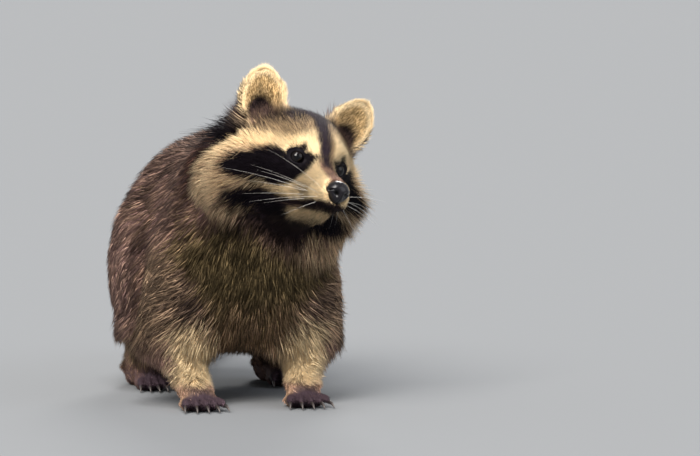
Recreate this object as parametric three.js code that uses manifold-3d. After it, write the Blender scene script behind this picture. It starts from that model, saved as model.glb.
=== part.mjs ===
// A young raccoon standing on all fours, its head turned and tilted to its left.
// Millimetres. +X is the animal's left, -Y is forwards, +Z is up, and the feet stand on Z = 0.
// The origin is the middle of the base of the bounding box.
// Every outline is the tips of the coat. The body is one smooth field of ellipsoids and tapering rods, each
// part of it is meshed in a box of its own, and thin flat cuts part the neighbours.
import * as THREE from "three";
import { mergeVertices } from "three/addons/utils/BufferGeometryUtils.js";
import Module from "manifold-3d";

const wasm = await Module();
wasm.setup();

const vec = (x, y, z) => new THREE.Vector3(x, y, z);
const RIGHT = -1;
const LEFT = 1;
const SIDES = [["right", RIGHT], ["left", LEFT]];

// ---- Driving dimensions -------------------------------------------------------------------------

const GAP = 0.35; // clearance between neighbouring parts
const GRID = 0.02; // vertices of the finished parts are rounded to this
const HEAD_CELL = 8.4; // size of each part's facets
const NECK_CELL = 23;
const TRUNK_CELL = 25.5;
const UPPER_LEG_CELL = 24.5;
const LOWER_LEG_CELL = 13.6;
const TAIL_CELL = 18;
const BACK_HEIGHT = 232; // floor to the top of the arched back
const TRUNK_HALF_WIDTH = 90; // at the haunches
const CHEST_HALF_WIDTH = 74;
const LEAN = -12; // the forequarters lean over the right forepaw
const FORE_STANCE = 46; // middle of the forequarters to the middle of a forepaw
const HIND_STANCE = 60;
const EYE_LINE = vec(22.8, -165, 211.5); // the point midway between the eyes
const HEAD_TURN = THREE.MathUtils.degToRad(13.7); // about Z, to the animal's left
const HEAD_NOD = THREE.MathUtils.degToRad(3.8); // about the ear to ear axis, nose down
const HEAD_TILT = THREE.MathUtils.degToRad(17.3); // about the nose to nape axis, left ear down
const EYE_RADIUS = 7.2;
const EYE_HALF_SPACING = 19.5;
const EAR_HALF_WIDTH = 20;
const EAR_HALF_HEIGHT = 26;
const WIDE = 900; // across and along the blocks that make the cuts: past every part
const DEEP = 400;

// ---- Colours ------------------------------------------------------------------------------------

const finish = (color, roughness) => new THREE.MeshStandardMaterial({ color, roughness, metalness: 0 });
const GRIZZLED = finish(0x5a4a3c, 0.9);
const FACE = finish(0xb59c74, 0.85);
const EAR = finish(0xcdbb8c, 0.85);
const PAW = finish(0x3d343a, 0.7);
const CLAW = finish(0x6d6258, 0.4);
const NOSE = finish(0x17151a, 0.35);
const EYE = finish(0x1a100b, 0.08);

// ---- Fields: signed distance in mm, negative inside ---------------------------------------------

function ellipsoid(centre, [rx, ry, rz]) {
  return (p) => {
    const x = (p.x - centre.x) / rx;
    const y = (p.y - centre.y) / ry;
    const z = (p.z - centre.z) / rz;
    const size = Math.hypot(x, y, z);
    const slope = Math.hypot(x / rx, y / ry, z / rz);
    return slope > 1e-9 ? (size * (size - 1)) / slope : -Math.min(rx, ry, rz);
  };
}

function rod(start, end, startRadius, endRadius) {
  const axis = end.clone().sub(start);
  const lengthSquared = axis.lengthSq();
  return (p) => {
    const x = p.x - start.x;
    const y = p.y - start.y;
    const z = p.z - start.z;
    const t = THREE.MathUtils.clamp((x * axis.x + y * axis.y + z * axis.z) / lengthSquared, 0, 1);
    const away = Math.hypot(x - t * axis.x, y - t * axis.y, z - t * axis.z);
    return away - THREE.MathUtils.lerp(startRadius, endRadius, t);
  };
}

// A run of rods through the points of a smooth curve, with a radius given at each of the curve's own points.
function bentRod(points, radii, steps) {
  const curve = new THREE.CatmullRomCurve3(points);
  const place = (i) => curve.getPoint(i / steps);
  const radius = (i) => {
    const at = (i / steps) * (radii.length - 1);
    const before = Math.min(Math.floor(at), radii.length - 2);
    return THREE.MathUtils.lerp(radii[before], radii[before + 1], at - before);
  };
  const lengthAt = (i) => rod(place(i), place(i + 1), radius(i), radius(i + 1));
  const rods = Array.from({ length: steps }, (_, i) => lengthAt(i));
  return (p) => rods.reduce((nearest, one) => Math.min(nearest, one(p)), Infinity);
}

// Joins fields, filling the crease between them over the reach.
function blended(reach, ...fields) {
  return (p) => fields.map((field) => field(p)).reduce((a, b) => {
    const overlap = Math.max(reach - Math.abs(a - b), 0) / reach;
    return Math.min(a, b) - (overlap * overlap * reach) / 4;
  });
}

// Takes the later fields out of the first, with a rounded lip.
const scooped = (reach, mass, ...hollows) => (p) => -blended(reach, (q) => -mass(q), ...hollows)(p);

// ---- Trunk and neck -----------------------------------------------------------------------------

const SPINE_RADIUS = 54;
const spineTop = BACK_HEIGHT - SPINE_RADIUS;
const SPINE = [
  vec(LEAN, -64, spineTop + 12),
  vec(LEAN / 2, 0, spineTop + 5),
  vec(0, 66, spineTop - 1),
  vec(0, 128, spineTop - 36),
];
const haunch = (side) => ellipsoid(vec(side * 44, 94, 106), [TRUNK_HALF_WIDTH - 44, 56, 66]);
const trunkField = blended(
  34,
  ellipsoid(vec(LEAN * 0.8, -34, 126), [CHEST_HALF_WIDTH, 78, 83]), // rib cage
  ellipsoid(vec(-2, 42, 111), [TRUNK_HALF_WIDTH - 4, 94, 69]), // belly
  ellipsoid(vec(0, 86, 138), [TRUNK_HALF_WIDTH - 2, 74, 91]), // rump
  bentRod(SPINE, [SPINE_RADIUS - 4, SPINE_RADIUS, SPINE_RADIUS, SPINE_RADIUS - 8], 8),
  ...SIDES.map(([, side]) => haunch(side)),
);

const neckField = blended(
  20,
  rod(vec(LEAN, -54, 182), vec(9, -98, 194), 54, 46),
  ellipsoid(vec(LEAN / 2, -80, 142), [56, 44, 54]), // front of the chest
);

// ---- Legs: shoulder or hip to the heel of the paw -----------------------------------------------

const forePlace = (side, x, y, z) => vec(LEAN + side * x, y, z);

function foreleg(side) {
  const route = [[52, -54, 100], [57, -42, 66], [51, -64, 36], [FORE_STANCE, -78, 12]];
  return blended(
    14,
    ellipsoid(forePlace(side, 46, -56, 118), [34, 44, 54]),
    bentRod(route.map(([x, y, z]) => forePlace(side, x, y, z)), [40, 33, 21, 15], 8),
  );
}

function hindLeg(side) {
  return blended(
    14,
    ellipsoid(vec(side * 52, 92, 100), [42, 54, 56]),
    rod(vec(side * 52, 84, 84), vec(side * 60, 62, 60), 42, 32),
    rod(vec(side * 59, 66, 54), vec(side * 61, 116, 26), 30, 17),
    rod(vec(side * 61, 116, 22), vec(side * 60, 122, 12), 17, 12),
    rod(vec(side * 60, 120, 10), vec(side * (HIND_STANCE + 1), 76, 10), 11, 12),
  );
}

// ---- Tail ---------------------------------------------------------------------------------------

// The tail leaves the rump, droops clear of the floor and swings to the animal's left.
const TAIL_ROUTE = [
  vec(0, 138, 136),
  vec(-2, 184, 102),
  vec(6, 230, 70),
  vec(26, 280, 54),
  vec(52, 320, 50),
  vec(72, 352, 49),
];
const TAIL_RADII = [28, 27, 30, 31, 27, 15];
const tailCurve = new THREE.CatmullRomCurve3(TAIL_ROUTE);
const tailField = bentRod(TAIL_ROUTE, TAIL_RADII, 16);

// ---- Head, in its own frame: origin midway between the eyes, turned and tilted as one -----------

const head = new THREE.Group();
head.position.copy(EYE_LINE);
head.rotation.set(HEAD_NOD, HEAD_TILT, HEAD_TURN, "ZXY");
head.updateMatrixWorld(true);
const toHead = head.matrixWorld.clone().invert();

const headMass = blended(
  9,
  blended(
    18,
    ellipsoid(vec(0, 44, 3), [46, 45, 42]), // cranium
    ellipsoid(vec(0, 14, 6), [31, 24, 22]), // forehead and brow
    ...SIDES.map(([, side]) => ellipsoid(vec(side * 37, 36, -14), [32, 26, 31])), // cheeks
    ...SIDES.map(([, side]) => ellipsoid(vec(side * 44, 52, -34), [37, 27, 30])), // ruffs
    rod(vec(0, 24, -34), vec(0, 10, -36), 28, 20), // throat
  ),
  rod(vec(0, 2, -14), vec(0, -37, -20), 20, 11.5), // muzzle
  ...SIDES.map(([, side]) => ellipsoid(vec(side * 8, -28, -25), [10, 15, 9.5])), // whisker pads
  rod(vec(0, 8, -38), vec(0, -25, -38.5), 15, 7.5), // lower jaw
);

// The coat dips round each eye.
const headInOwnFrame = scooped(
  8,
  headMass,
  ...SIDES.map(([, side]) => ellipsoid(vec(side * 23, -7.5, 0.5), [12, 8, 8])),
);

const headPoint = new THREE.Vector3();
const headField = (p) => headInOwnFrame(headPoint.copy(p).applyMatrix4(toHead));

const bodyField = blended(
  22,
  blended(12, trunkField, foreleg(LEFT), foreleg(RIGHT), hindLeg(LEFT), hindLeg(RIGHT), tailField),
  neckField,
  headField,
);

// ---- Meshing a field ----------------------------------------------------------------------------

// A cell's eight corners, numbered so that each bit is an axis, and its twelve edges.
const CORNERS = Array.from({ length: 8 }, (_, i) => [i & 1, (i >> 1) & 1, (i >> 2) & 1]);
const EDGES = [1, 2, 4].flatMap((step) => CORNERS.flatMap((_, i) => (i & step ? [] : [[i, i + step]])));

// Steps a point down the field's slope until it lies on the surface.
function settle(point, field, step) {
  const nudge = step / 50;
  const slope = new THREE.Vector3();
  for (let round = 0; round < 3; round++) {
    const here = field(point);
    for (const axis of ["x", "y", "z"]) {
      const beside = point.clone();
      beside[axis] += nudge;
      slope[axis] = (field(beside) - here) / nudge;
    }
    const move = THREE.MathUtils.clamp(here / Math.max(slope.lengthSq(), 0.1), -step / 2, step / 2);
    point.addScaledVector(slope, -move);
  }
}

// One vertex in every cell of the grid that the surface crosses, and one quad round every grid edge that it
// crosses. The rim of the grid counts as outside, so that the mesh is always closed.
function meshOf(field, box, cell) {
  const size = box.getSize(new THREE.Vector3());
  const [nx, ny, nz] = size.toArray().map((length) => Math.ceil(length / cell) + 1);
  const index = (i, j, k) => i + nx * (j + ny * k);
  const place = (i, j, k) => vec(i, j, k).multiplyScalar(cell).add(box.min);
  const values = new Float32Array(nx * ny * nz);
  for (let k = 0; k < nz; k++)
    for (let j = 0; j < ny; j++)
      for (let i = 0; i < nx; i++) {
        const rim = i === 0 || j === 0 || k === 0 || i === nx - 1 || j === ny - 1 || k === nz - 1;
        values[index(i, j, k)] = rim ? cell : field(place(i, j, k));
      }
  const positions = [];
  const vertexAt = new Int32Array(nx * ny * nz).fill(-1);
  for (let k = 0; k < nz - 1; k++)
    for (let j = 0; j < ny - 1; j++)
      for (let i = 0; i < nx - 1; i++) {
        const corner = CORNERS.map(([a, b, c]) => values[index(i + a, j + b, k + c)]);
        const crossed = EDGES.filter(([a, b]) => corner[a] < 0 !== corner[b] < 0);
        if (!crossed.length) continue;
        const middle = vec(0, 0, 0);
        for (const [a, b] of crossed) {
          const from = vec(...CORNERS[a]);
          middle.add(from.lerp(vec(...CORNERS[b]), corner[a] / (corner[a] - corner[b])));
        }
        middle.divideScalar(crossed.length).add(vec(i, j, k));
        const point = middle.multiplyScalar(cell).add(box.min);
        const inner = i > 0 && j > 0 && k > 0 && i < nx - 2 && j < ny - 2 && k < nz - 2;
        if (inner) settle(point, field, cell);
        vertexAt[index(i, j, k)] = positions.length / 3;
        positions.push(...point.toArray());
      }
  const faces = [];
  const quad = (a, b, c, d, forwards) => faces.push(...(forwards ? [a, b, c, a, c, d] : [a, c, b, a, d, c]));
  for (let k = 0; k < nz - 1; k++)
    for (let j = 0; j < ny - 1; j++)
      for (let i = 0; i < nx - 1; i++) {
        const inside = values[index(i, j, k)] < 0;
        const at = (a, b, c) => vertexAt[index(i - a, j - b, k - c)];
        if (inside !== values[index(i + 1, j, k)] < 0)
          quad(at(0, 1, 1), at(0, 0, 1), at(0, 0, 0), at(0, 1, 0), inside);
        if (inside !== values[index(i, j + 1, k)] < 0)
          quad(at(1, 0, 1), at(1, 0, 0), at(0, 0, 0), at(0, 0, 1), inside);
        if (inside !== values[index(i, j, k + 1)] < 0)
          quad(at(1, 1, 0), at(0, 1, 0), at(0, 0, 0), at(1, 0, 0), inside);
      }
  const geometry = new THREE.BufferGeometry();
  geometry.setAttribute("position", new THREE.Float32BufferAttribute(positions, 3));
  return geometry.setIndex(faces);
}

// ---- Solids: joining and cutting ----------------------------------------------------------------

function solid(geometry) {
  const bare = geometry.clone();
  bare.deleteAttribute("normal");
  bare.deleteAttribute("uv");
  const merged = mergeVertices(bare, 1e-4);
  return new wasm.Manifold(new wasm.Mesh({
    numProp: 3,
    vertProperties: new Float32Array(merged.attributes.position.array),
    triVerts: new Uint32Array(merged.index.array),
  }));
}

// Vertices are drawn onto a fine grid, so that the slivers along a cut close up. What closes up is dropped:
// a face with no width, and two faces back to back.
function geometryOf(shape) {
  const mesh = shape.getMesh();
  const onGrid = Float32Array.from(mesh.vertProperties, (value) => Math.round(value / GRID) * GRID);
  const geometry = new THREE.BufferGeometry();
  geometry.setAttribute("position", new THREE.BufferAttribute(onGrid, 3));
  geometry.setIndex(new THREE.BufferAttribute(mesh.triVerts, 1));
  const merged = mergeVertices(geometry, GRID / 10);
  const order = merged.index.array;
  const faces = new Map();
  for (let i = 0; i < order.length; i += 3) {
    const face = [...order.slice(i, i + 3)];
    if (new Set(face).size < 3) continue;
    const key = face.toSorted((a, b) => a - b).join();
    if (!faces.delete(key)) faces.set(key, face);
  }
  merged.setIndex([...faces.values()].flat());
  const faceted = merged.toNonIndexed();
  faceted.computeVertexNormals();
  return faceted;
}

const flesh = (box, cell) => solid(meshOf(bodyField, box, cell));

// The largest body of a solid, without any sliver that a cut has left beside it.
const mainBody = (shape) => shape.decompose().reduce((a, b) => (b.volume() > a.volume() ? b : a));

// A block standing on the plane through a point, on the side that the direction faces. Off moves it that way.
function block(at, facing, off = 0, width = WIDE, height = WIDE) {
  const geometry = new THREE.BoxGeometry(width, height, DEEP);
  geometry.translate(0, 0, DEEP / 2 + off);
  const turn = new THREE.Quaternion().setFromUnitVectors(vec(0, 0, 1), facing.clone().normalize());
  geometry.applyQuaternion(turn).translate(at.x, at.y, at.z);
  return solid(geometry);
}

// Parts a solid at a plane into the piece that the direction faces and the rest.
function partedAt(shape, at, facing) {
  const piece = shape.intersect(block(at, facing, GAP / 2));
  const rest = shape.subtract(block(at, facing, -GAP / 2));
  return [mainBody(piece), mainBody(rest)];
}

// A closed, tapering, rounded rod: the rings of a sphere strung along a curve, as thick as radius(t) says.
// A fullness over 2 makes its ends blunter than an ellipse's.
function taperingRod(curve, radius, sides, rings, fullness = 3) {
  const geometry = new THREE.SphereGeometry(1, sides, rings);
  const position = geometry.attributes.position;
  const across = vec(0, 0, 1);
  for (let i = 0; i < position.count; i++) {
    const pole = position.getY(i);
    const t = (1 - pole) / 2;
    const round = Math.hypot(position.getX(i), position.getZ(i));
    const tangent = curve.getTangent(t);
    const side = tangent.clone().cross(across).normalize();
    const top = side.clone().cross(tangent);
    const thick = radius(t) * Math.pow(Math.max(1 - Math.abs(pole) ** fullness, 0), 1 / fullness);
    const point = curve.getPoint(t);
    if (round > 1e-6) {
      point.addScaledVector(side, (position.getX(i) / round) * thick);
      point.addScaledVector(top, (-position.getZ(i) / round) * thick);
    }
    position.setXYZ(i, point.x, point.y, point.z);
  }
  return outwards(geometry);
}

// Turns a geometry's faces round if they point inwards.
function outwards(geometry) {
  if (solid(geometry).volume() < 0) {
    const order = geometry.index.array;
    for (let i = 0; i < order.length; i += 3) order.subarray(i, i + 3).reverse();
  }
  return geometry;
}

// ---- Assembling ---------------------------------------------------------------------------------

const raccoon = new THREE.Group();
const body = new THREE.Group();
raccoon.add(body);
body.add(head);

function add(group, name, shape, material) {
  const mesh = new THREE.Mesh(geometryOf(shape), material);
  mesh.name = name;
  group.add(mesh);
}

// ---- Head parts ---------------------------------------------------------------------------------

const OCCIPUT_CUT = { at: vec(0, 64, -10), facing: vec(0, -0.9, 0.43) };
const MOUTH_CUT = { at: vec(0, -16, -31.5), facing: vec(0, -0.12, -1) };
const MOUTH_CORNER = 6; // how far behind the eyes the mouth cut stops
const FORWARDS = vec(0, -1, 0);
const headBox = new THREE.Box3(vec(-84, -58, -92), vec(84, 124, 76));

const toBody = head.matrixWorld;
const bodyPoint = new THREE.Vector3();
const bodyInHeadFrame = (p) => bodyField(bodyPoint.copy(p).applyMatrix4(toBody));
const headWith = (grow) => solid(meshOf((p) => bodyInHeadFrame(p) - grow, headBox, HEAD_CELL));

const noseCentre = vec(0, -42.5, -19);
const NOSE_RADII = [10.5, 8.5, 9.6];

function noseSolid(grow) {
  const geometry = new THREE.SphereGeometry(1, 12, 7);
  geometry.scale(NOSE_RADII[0] + grow, NOSE_RADII[1] + grow, NOSE_RADII[2] + grow);
  // The pad narrows below, towards the lip.
  const position = geometry.attributes.position;
  for (let i = 0; i < position.count; i++) {
    const low = THREE.MathUtils.clamp(-position.getZ(i) / NOSE_RADII[2], 0, 1);
    position.setX(i, position.getX(i) * (1 - 0.35 * low));
  }
  geometry.translate(noseCentre.x, noseCentre.y, noseCentre.z);
  return solid(geometry);
}

const eyeCentre = (side) => vec(side * EYE_HALF_SPACING, 3.6, 0.5);

function eyeSolid(side, grow) {
  const geometry = new THREE.SphereGeometry(EYE_RADIUS + grow, 11, 6);
  return solid(geometry.translate(...eyeCentre(side).toArray()));
}

const EAR_CENTRE = vec(44, 41, 41);
// The right ear is turned out to the side, and the left ear is pricked to the front.
const EAR_TURNS = {
  left: { lean: THREE.MathUtils.degToRad(25), outward: THREE.MathUtils.degToRad(-6) },
  right: { lean: THREE.MathUtils.degToRad(18), outward: THREE.MathUtils.degToRad(24) },
};
const EAR_THICKNESS = 5;
const EAR_CUP = 9;

// A shell: a flattened sphere whose middle is set back from its rim.
function earSolid(side, { lean, outward }) {
  const geometry = new THREE.SphereGeometry(1, 12, 8);
  const position = geometry.attributes.position;
  for (let i = 0; i < position.count; i++) {
    const across = position.getX(i);
    const through = position.getZ(i);
    const up = position.getY(i);
    const width = EAR_HALF_WIDTH * (1 - 0.12 * up);
    const depth = through * EAR_THICKNESS + through * through * EAR_CUP;
    position.setXYZ(i, across * width, depth, up * EAR_HALF_HEIGHT);
  }
  geometry.rotateY(lean * side).rotateZ(outward * side);
  geometry.translate(side * EAR_CENTRE.x, EAR_CENTRE.y, EAR_CENTRE.z);
  return solid(outwards(geometry));
}

const mouthCorner = vec(0, MOUTH_CORNER, 0);
const belowMouth = (off) => block(MOUTH_CUT.at, MOUTH_CUT.facing, off);
const jawSide = (off) => belowMouth(off).intersect(block(mouthCorner, FORWARDS, off));
const sockets = SIDES.map(([, side]) => eyeSolid(side, GAP)).reduce((a, b) => a.add(b), noseSolid(GAP));
const wholeHead = headWith(0).intersect(block(OCCIPUT_CUT.at, OCCIPUT_CUT.facing, GAP / 2)).subtract(sockets);
const jaw = mainBody(wholeHead.intersect(jawSide(GAP / 2)));
const skull = mainBody(wholeHead.subtract(jawSide(-GAP / 2)));
const grownHead = headWith(GAP);

add(head, "head", skull, FACE);
add(head, "jaw", jaw, FACE);
add(head, "nose", noseSolid(0), NOSE);
for (const [name, side] of SIDES) {
  add(head, `eye_${name}`, eyeSolid(side, 0), EYE);
  add(head, `ear_${name}`, mainBody(earSolid(side, EAR_TURNS[name]).subtract(grownHead)), EAR);
}

// ---- Neck, trunk and tail -----------------------------------------------------------------------

const HEAD_CUT = {
  at: OCCIPUT_CUT.at.clone().applyMatrix4(toBody),
  facing: OCCIPUT_CUT.facing.clone().transformDirection(toBody),
};
const NECK_CUT = { at: vec(LEAN, -76, 168), facing: vec(0.1, -0.87, 0.48) };
const TAIL_CUT = { at: vec(-1, 178, 106), facing: vec(0, 0.92, -0.39) };

const neckBox = new THREE.Box3(vec(-110, -190, 50), vec(110, -6, 272));
const headSide = block(HEAD_CUT.at, HEAD_CUT.facing, -GAP / 2);
const [neck] = partedAt(flesh(neckBox, NECK_CELL).subtract(headSide), NECK_CUT.at, NECK_CUT.facing);

// The plane that takes a leg off the trunk leans outwards, so that the shoulder or haunch goes with the leg.
const LEG_FACING = vec(0.87, 0, -0.49);
const SHOULDER_CUT = { middle: LEAN, at: vec(46, -58, 106), along: 116 };
const HIP_CUT = { middle: 0, at: vec(50, 98, 104), along: 128 };
const mirrored = (v, side, middle = 0) => vec(middle + v.x * side, v.y, v.z);

// What a leg takes, or with a negative off what it leaves clear. The block's height runs along the trunk, and
// the strip of belly between the legs stays with the trunk.
const INNER_SIDE = 24;
function legBlock(cut, side, off) {
  const at = mirrored(cut.at, side, cut.middle);
  const inner = mirrored(vec(INNER_SIDE, 0, 0), side, cut.middle);
  const leaning = block(at, mirrored(LEG_FACING, side), off, WIDE, cut.along - 2 * off);
  return leaning.intersect(block(inner, vec(side, 0, 0), off));
}

const trunkBox = new THREE.Box3(vec(-125, -150, 14), vec(115, 215, 270));
const tailBox = new THREE.Box3(vec(-60, 130, -10), vec(130, 410, 190));
const neckSide = block(NECK_CUT.at, NECK_CUT.facing, -GAP / 2);
const tailSide = block(TAIL_CUT.at, TAIL_CUT.facing, -GAP / 2);
let trunk = flesh(trunkBox, TRUNK_CELL).subtract(neckSide).subtract(tailSide);
let tail = flesh(tailBox, TAIL_CELL).intersect(block(TAIL_CUT.at, TAIL_CUT.facing, GAP / 2));
for (const [, side] of SIDES)
  for (const cut of [SHOULDER_CUT, HIP_CUT]) {
    const leg = legBlock(cut, side, -GAP / 2);
    trunk = trunk.subtract(leg);
    tail = tail.subtract(leg);
  }
add(body, "neck", neck, GRIZZLED);
add(body, "trunk", mainBody(trunk), GRIZZLED);

tail = mainBody(tail);
for (const [name, share] of [["tail_root", 0.36], ["tail_middle", 0.7]]) {
  const [rest, length] = partedAt(tail, tailCurve.getPoint(share), tailCurve.getTangent(share));
  add(body, name, length, GRIZZLED);
  tail = rest;
}
add(body, "tail_tip", tail, GRIZZLED);

// ---- Paws: five toes, the middle one longest, each with its claw --------------------------------

const TOES = 5;
const FORE = {
  prefix: "fore",
  centre: (side) => forePlace(side, FORE_STANCE, -84, 0),
  palm: [19, 17, 10], // half its width, length and height
  rootHalf: 12, // from the middle toe to the outer ones, at the root
  tipHalf: 17.5, // and at the tip
  rootAhead: 7, // from the middle of the palm
  reach: 19,
  toe: 4.5, // radius
  claw: 9,
};
const HIND = {
  prefix: "hind",
  centre: (side) => vec(side * (HIND_STANCE + 1), 78, 0),
  palm: [16, 19, 10],
  rootHalf: 9.5,
  tipHalf: 14.5,
  rootAhead: 9,
  reach: 20,
  toe: 4.2,
  claw: 8,
};
const TOE_CLEARANCE = 0.4; // the pads of the palms carry the weight, and the toes stay just off the floor

// The toes fan out, and the outer ones start and end further back.
function toeLine(paw, side, toe) {
  const spread = (toe / (TOES - 1) - 0.5) * 2;
  const back = 6 * spread * spread;
  const root = paw.centre(side).add(vec(spread * paw.rootHalf, back - paw.rootAhead, 0));
  const tip = paw.centre(side).add(vec(spread * paw.tipHalf, back - paw.rootAhead - paw.reach, 0));
  return { root, tip, heading: tip.clone().sub(root).normalize() };
}

function toeSolid(paw, side, toe) {
  const { root, tip, heading } = toeLine(paw, side, toe);
  const knuckle = root.clone().addScaledVector(heading, paw.reach * 0.55).setZ(10);
  const curve = new THREE.QuadraticBezierCurve3(root.setZ(8), knuckle, tip.setZ(paw.toe + TOE_CLEARANCE));
  return solid(taperingRod(curve, (t) => paw.toe * (1.1 - 0.15 * t), 5, 4));
}

function clawSolid(paw, side, toe, grow) {
  const { tip, heading } = toeLine(paw, side, toe);
  const root = tip.clone().addScaledVector(heading, -2).setZ(paw.toe + 1);
  const bend = root.clone().addScaledVector(heading, paw.claw * 0.6).setZ(paw.toe + 1.4);
  const point = root.clone().addScaledVector(heading, paw.claw).setZ(1.2);
  const curve = new THREE.QuadraticBezierCurve3(root, bend, point);
  return solid(taperingRod(curve, (t) => 1.8 * (1 - 0.75 * t) + grow, 5, 3, 2));
}

function pawSolid(paw, side, legEnd) {
  const palm = new THREE.SphereGeometry(1, 8, 5).scale(...paw.palm);
  palm.translate(...paw.centre(side).setZ(6).toArray());
  let shape = legEnd.add(solid(palm));
  for (let toe = 0; toe < TOES; toe++) shape = shape.add(toeSolid(paw, side, toe));
  shape = shape.intersect(block(vec(0, 0, 0), vec(0, 0, 1)));
  for (let toe = 0; toe < TOES; toe++) shape = shape.subtract(clawSolid(paw, side, toe, GAP));
  return mainBody(shape);
}

// ---- Legs ---------------------------------------------------------------------------------------

const DOWN = vec(0, 0, -1);
const LEGS = [
  {
    upper: "upper_arm",
    lower: "forearm",
    cut: SHOULDER_CUT,
    box: [vec(-12, -140, -15), vec(118, 22, 200)],
    elbowOrKnee: 64, // height of the cut between upper and lower leg
    wristOrHeel: 22,
    paw: FORE,
  },
  {
    upper: "thigh",
    lower: "shank",
    cut: HIP_CUT,
    box: [vec(-12, 14, -15), vec(122, 186, 200)],
    elbowOrKnee: 60,
    wristOrHeel: 21,
    paw: HIND,
  },
];

for (const leg of LEGS)
  for (const [name, side] of SIDES) {
    const corners = leg.box.map((corner) => mirrored(corner, side, leg.cut.middle));
    const box = new THREE.Box3().setFromPoints(corners);
    const outer = legBlock(leg.cut, side, GAP / 2).subtract(neckSide);
    const joint = vec(0, 0, leg.elbowOrKnee);
    const [, upper] = partedAt(flesh(box, UPPER_LEG_CELL).intersect(outer), joint, DOWN);
    const [belowJoint] = partedAt(flesh(box, LOWER_LEG_CELL).intersect(outer), joint, DOWN);
    const [pawEnd, lower] = partedAt(belowJoint, vec(0, 0, leg.wristOrHeel), DOWN);
    add(body, `${leg.upper}_${name}`, upper, GRIZZLED);
    add(body, `${leg.lower}_${name}`, lower, GRIZZLED);
    add(body, `${leg.paw.prefix}paw_${name}`, pawSolid(leg.paw, side, pawEnd), PAW);
    for (let toe = 0; toe < TOES; toe++)
      add(body, `claw_${leg.paw.prefix}_${name}_${toe + 1}`, clawSolid(leg.paw, side, toe, 0), CLAW);
  }

// ---- The origin goes to the middle of the base --------------------------------------------------

raccoon.updateMatrixWorld(true);
const bounds = new THREE.Box3().setFromObject(raccoon, true);
const middle = bounds.getCenter(new THREE.Vector3());
body.position.set(-middle.x, -middle.y, -bounds.min.z);

export default raccoon;
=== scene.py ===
import math

import bmesh
import bpy
import numpy as np
from mathutils import Matrix, Vector
from mathutils.bvhtree import BVHTree
from mathutils.kdtree import KDTree


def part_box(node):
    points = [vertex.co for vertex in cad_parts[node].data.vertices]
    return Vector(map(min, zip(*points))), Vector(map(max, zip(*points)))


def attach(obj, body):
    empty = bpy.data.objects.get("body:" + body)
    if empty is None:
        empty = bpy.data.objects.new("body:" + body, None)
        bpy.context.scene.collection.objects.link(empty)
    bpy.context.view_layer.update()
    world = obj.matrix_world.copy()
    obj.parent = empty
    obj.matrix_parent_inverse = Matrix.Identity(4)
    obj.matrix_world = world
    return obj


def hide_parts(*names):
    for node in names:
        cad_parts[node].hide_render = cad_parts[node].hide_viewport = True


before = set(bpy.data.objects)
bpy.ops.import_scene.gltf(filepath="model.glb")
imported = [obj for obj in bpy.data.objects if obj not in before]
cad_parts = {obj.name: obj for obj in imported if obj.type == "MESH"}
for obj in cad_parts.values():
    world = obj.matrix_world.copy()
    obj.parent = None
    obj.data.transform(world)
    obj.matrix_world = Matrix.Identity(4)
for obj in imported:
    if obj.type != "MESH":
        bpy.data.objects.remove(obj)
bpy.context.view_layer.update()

# ==== The hide ====
# One whole skin over the head, neck, trunk, legs, paws, ears and tail, with no seam. The body's solids
# are run together, smoothed and drawn in by the coat's depth, and the clefts of the toes, the lids, the
# mouth line and the ears' hollows are worked into it.
MM = 0.001
MERGED_WITHIN = 0.005 * MM
SEAM_OVERLAP = 0.7 * MM
HIDE_GRAIN = 2.7 * MM
EVENING_ROUNDS = 10
BORDER_ROUNDS = 10
LEG_PARTS = ["upper_arm", "forearm", "forepaw", "thigh", "shank", "hindpaw"]


def both(*names):
    return [name + side for name in names for side in ("_left", "_right")]


FLESH = ["head", "jaw", "neck", "trunk", "tail_root", "tail_middle", "tail_tip"] + both("ear", *LEG_PARTS)
PART_NUMBER = {name: number for number, name in enumerate(FLESH)}


def welded(name):
    """A copy of a solid with its corners merged, ready to be worked on."""
    work = bmesh.new()
    work.from_mesh(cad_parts[name].data)
    bmesh.ops.remove_doubles(work, verts=work.verts, dist=MERGED_WITHIN)
    return work


def placed(name, data):
    """A new object in the scene, at the origin."""
    made = bpy.data.objects.new(name, data)
    bpy.context.scene.collection.objects.link(made)
    return made


def run_together(names):
    """The named solids, each a little swollen so that they overlap, as one mesh of even quads."""
    whole = bpy.data.meshes.new("hide")
    joined = bmesh.new()
    for name in names:
        work = welded(name)
        work.normal_update()
        for v in work.verts:
            v.co += v.normal * SEAM_OVERLAP
        work.to_mesh(whole)
        work.free()
        joined.from_mesh(whole)
    joined.to_mesh(whole)
    joined.free()
    swollen = placed("swollen", whole)
    even = swollen.modifiers.new("even", "REMESH")
    even.mode = "VOXEL"
    even.voxel_size = HIDE_GRAIN
    even.adaptivity = 0
    settled = swollen.evaluated_get(bpy.context.evaluated_depsgraph_get())
    made = bpy.data.meshes.new_from_object(settled)
    bpy.data.objects.remove(swollen)
    return made


def unit(v):
    return v / np.maximum(np.linalg.norm(v, axis=-1, keepdims=True), 1e-12)


def how_long(rows):
    return np.linalg.norm(rows, axis=1)


def steps(x, low, high):
    """0 below low, 1 above high, and a smooth rise between."""
    t = np.clip((x - low) / (high - low), 0, 1)
    return t * t * (3 - 2 * t)


def hump(x, middle, width):
    """1 at the middle and fading to 0 on both sides of it."""
    return np.exp(-(((x - middle) / width) ** 2))


def middle_of(name):
    low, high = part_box(name)
    return np.array((low + high) / 2)


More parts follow.
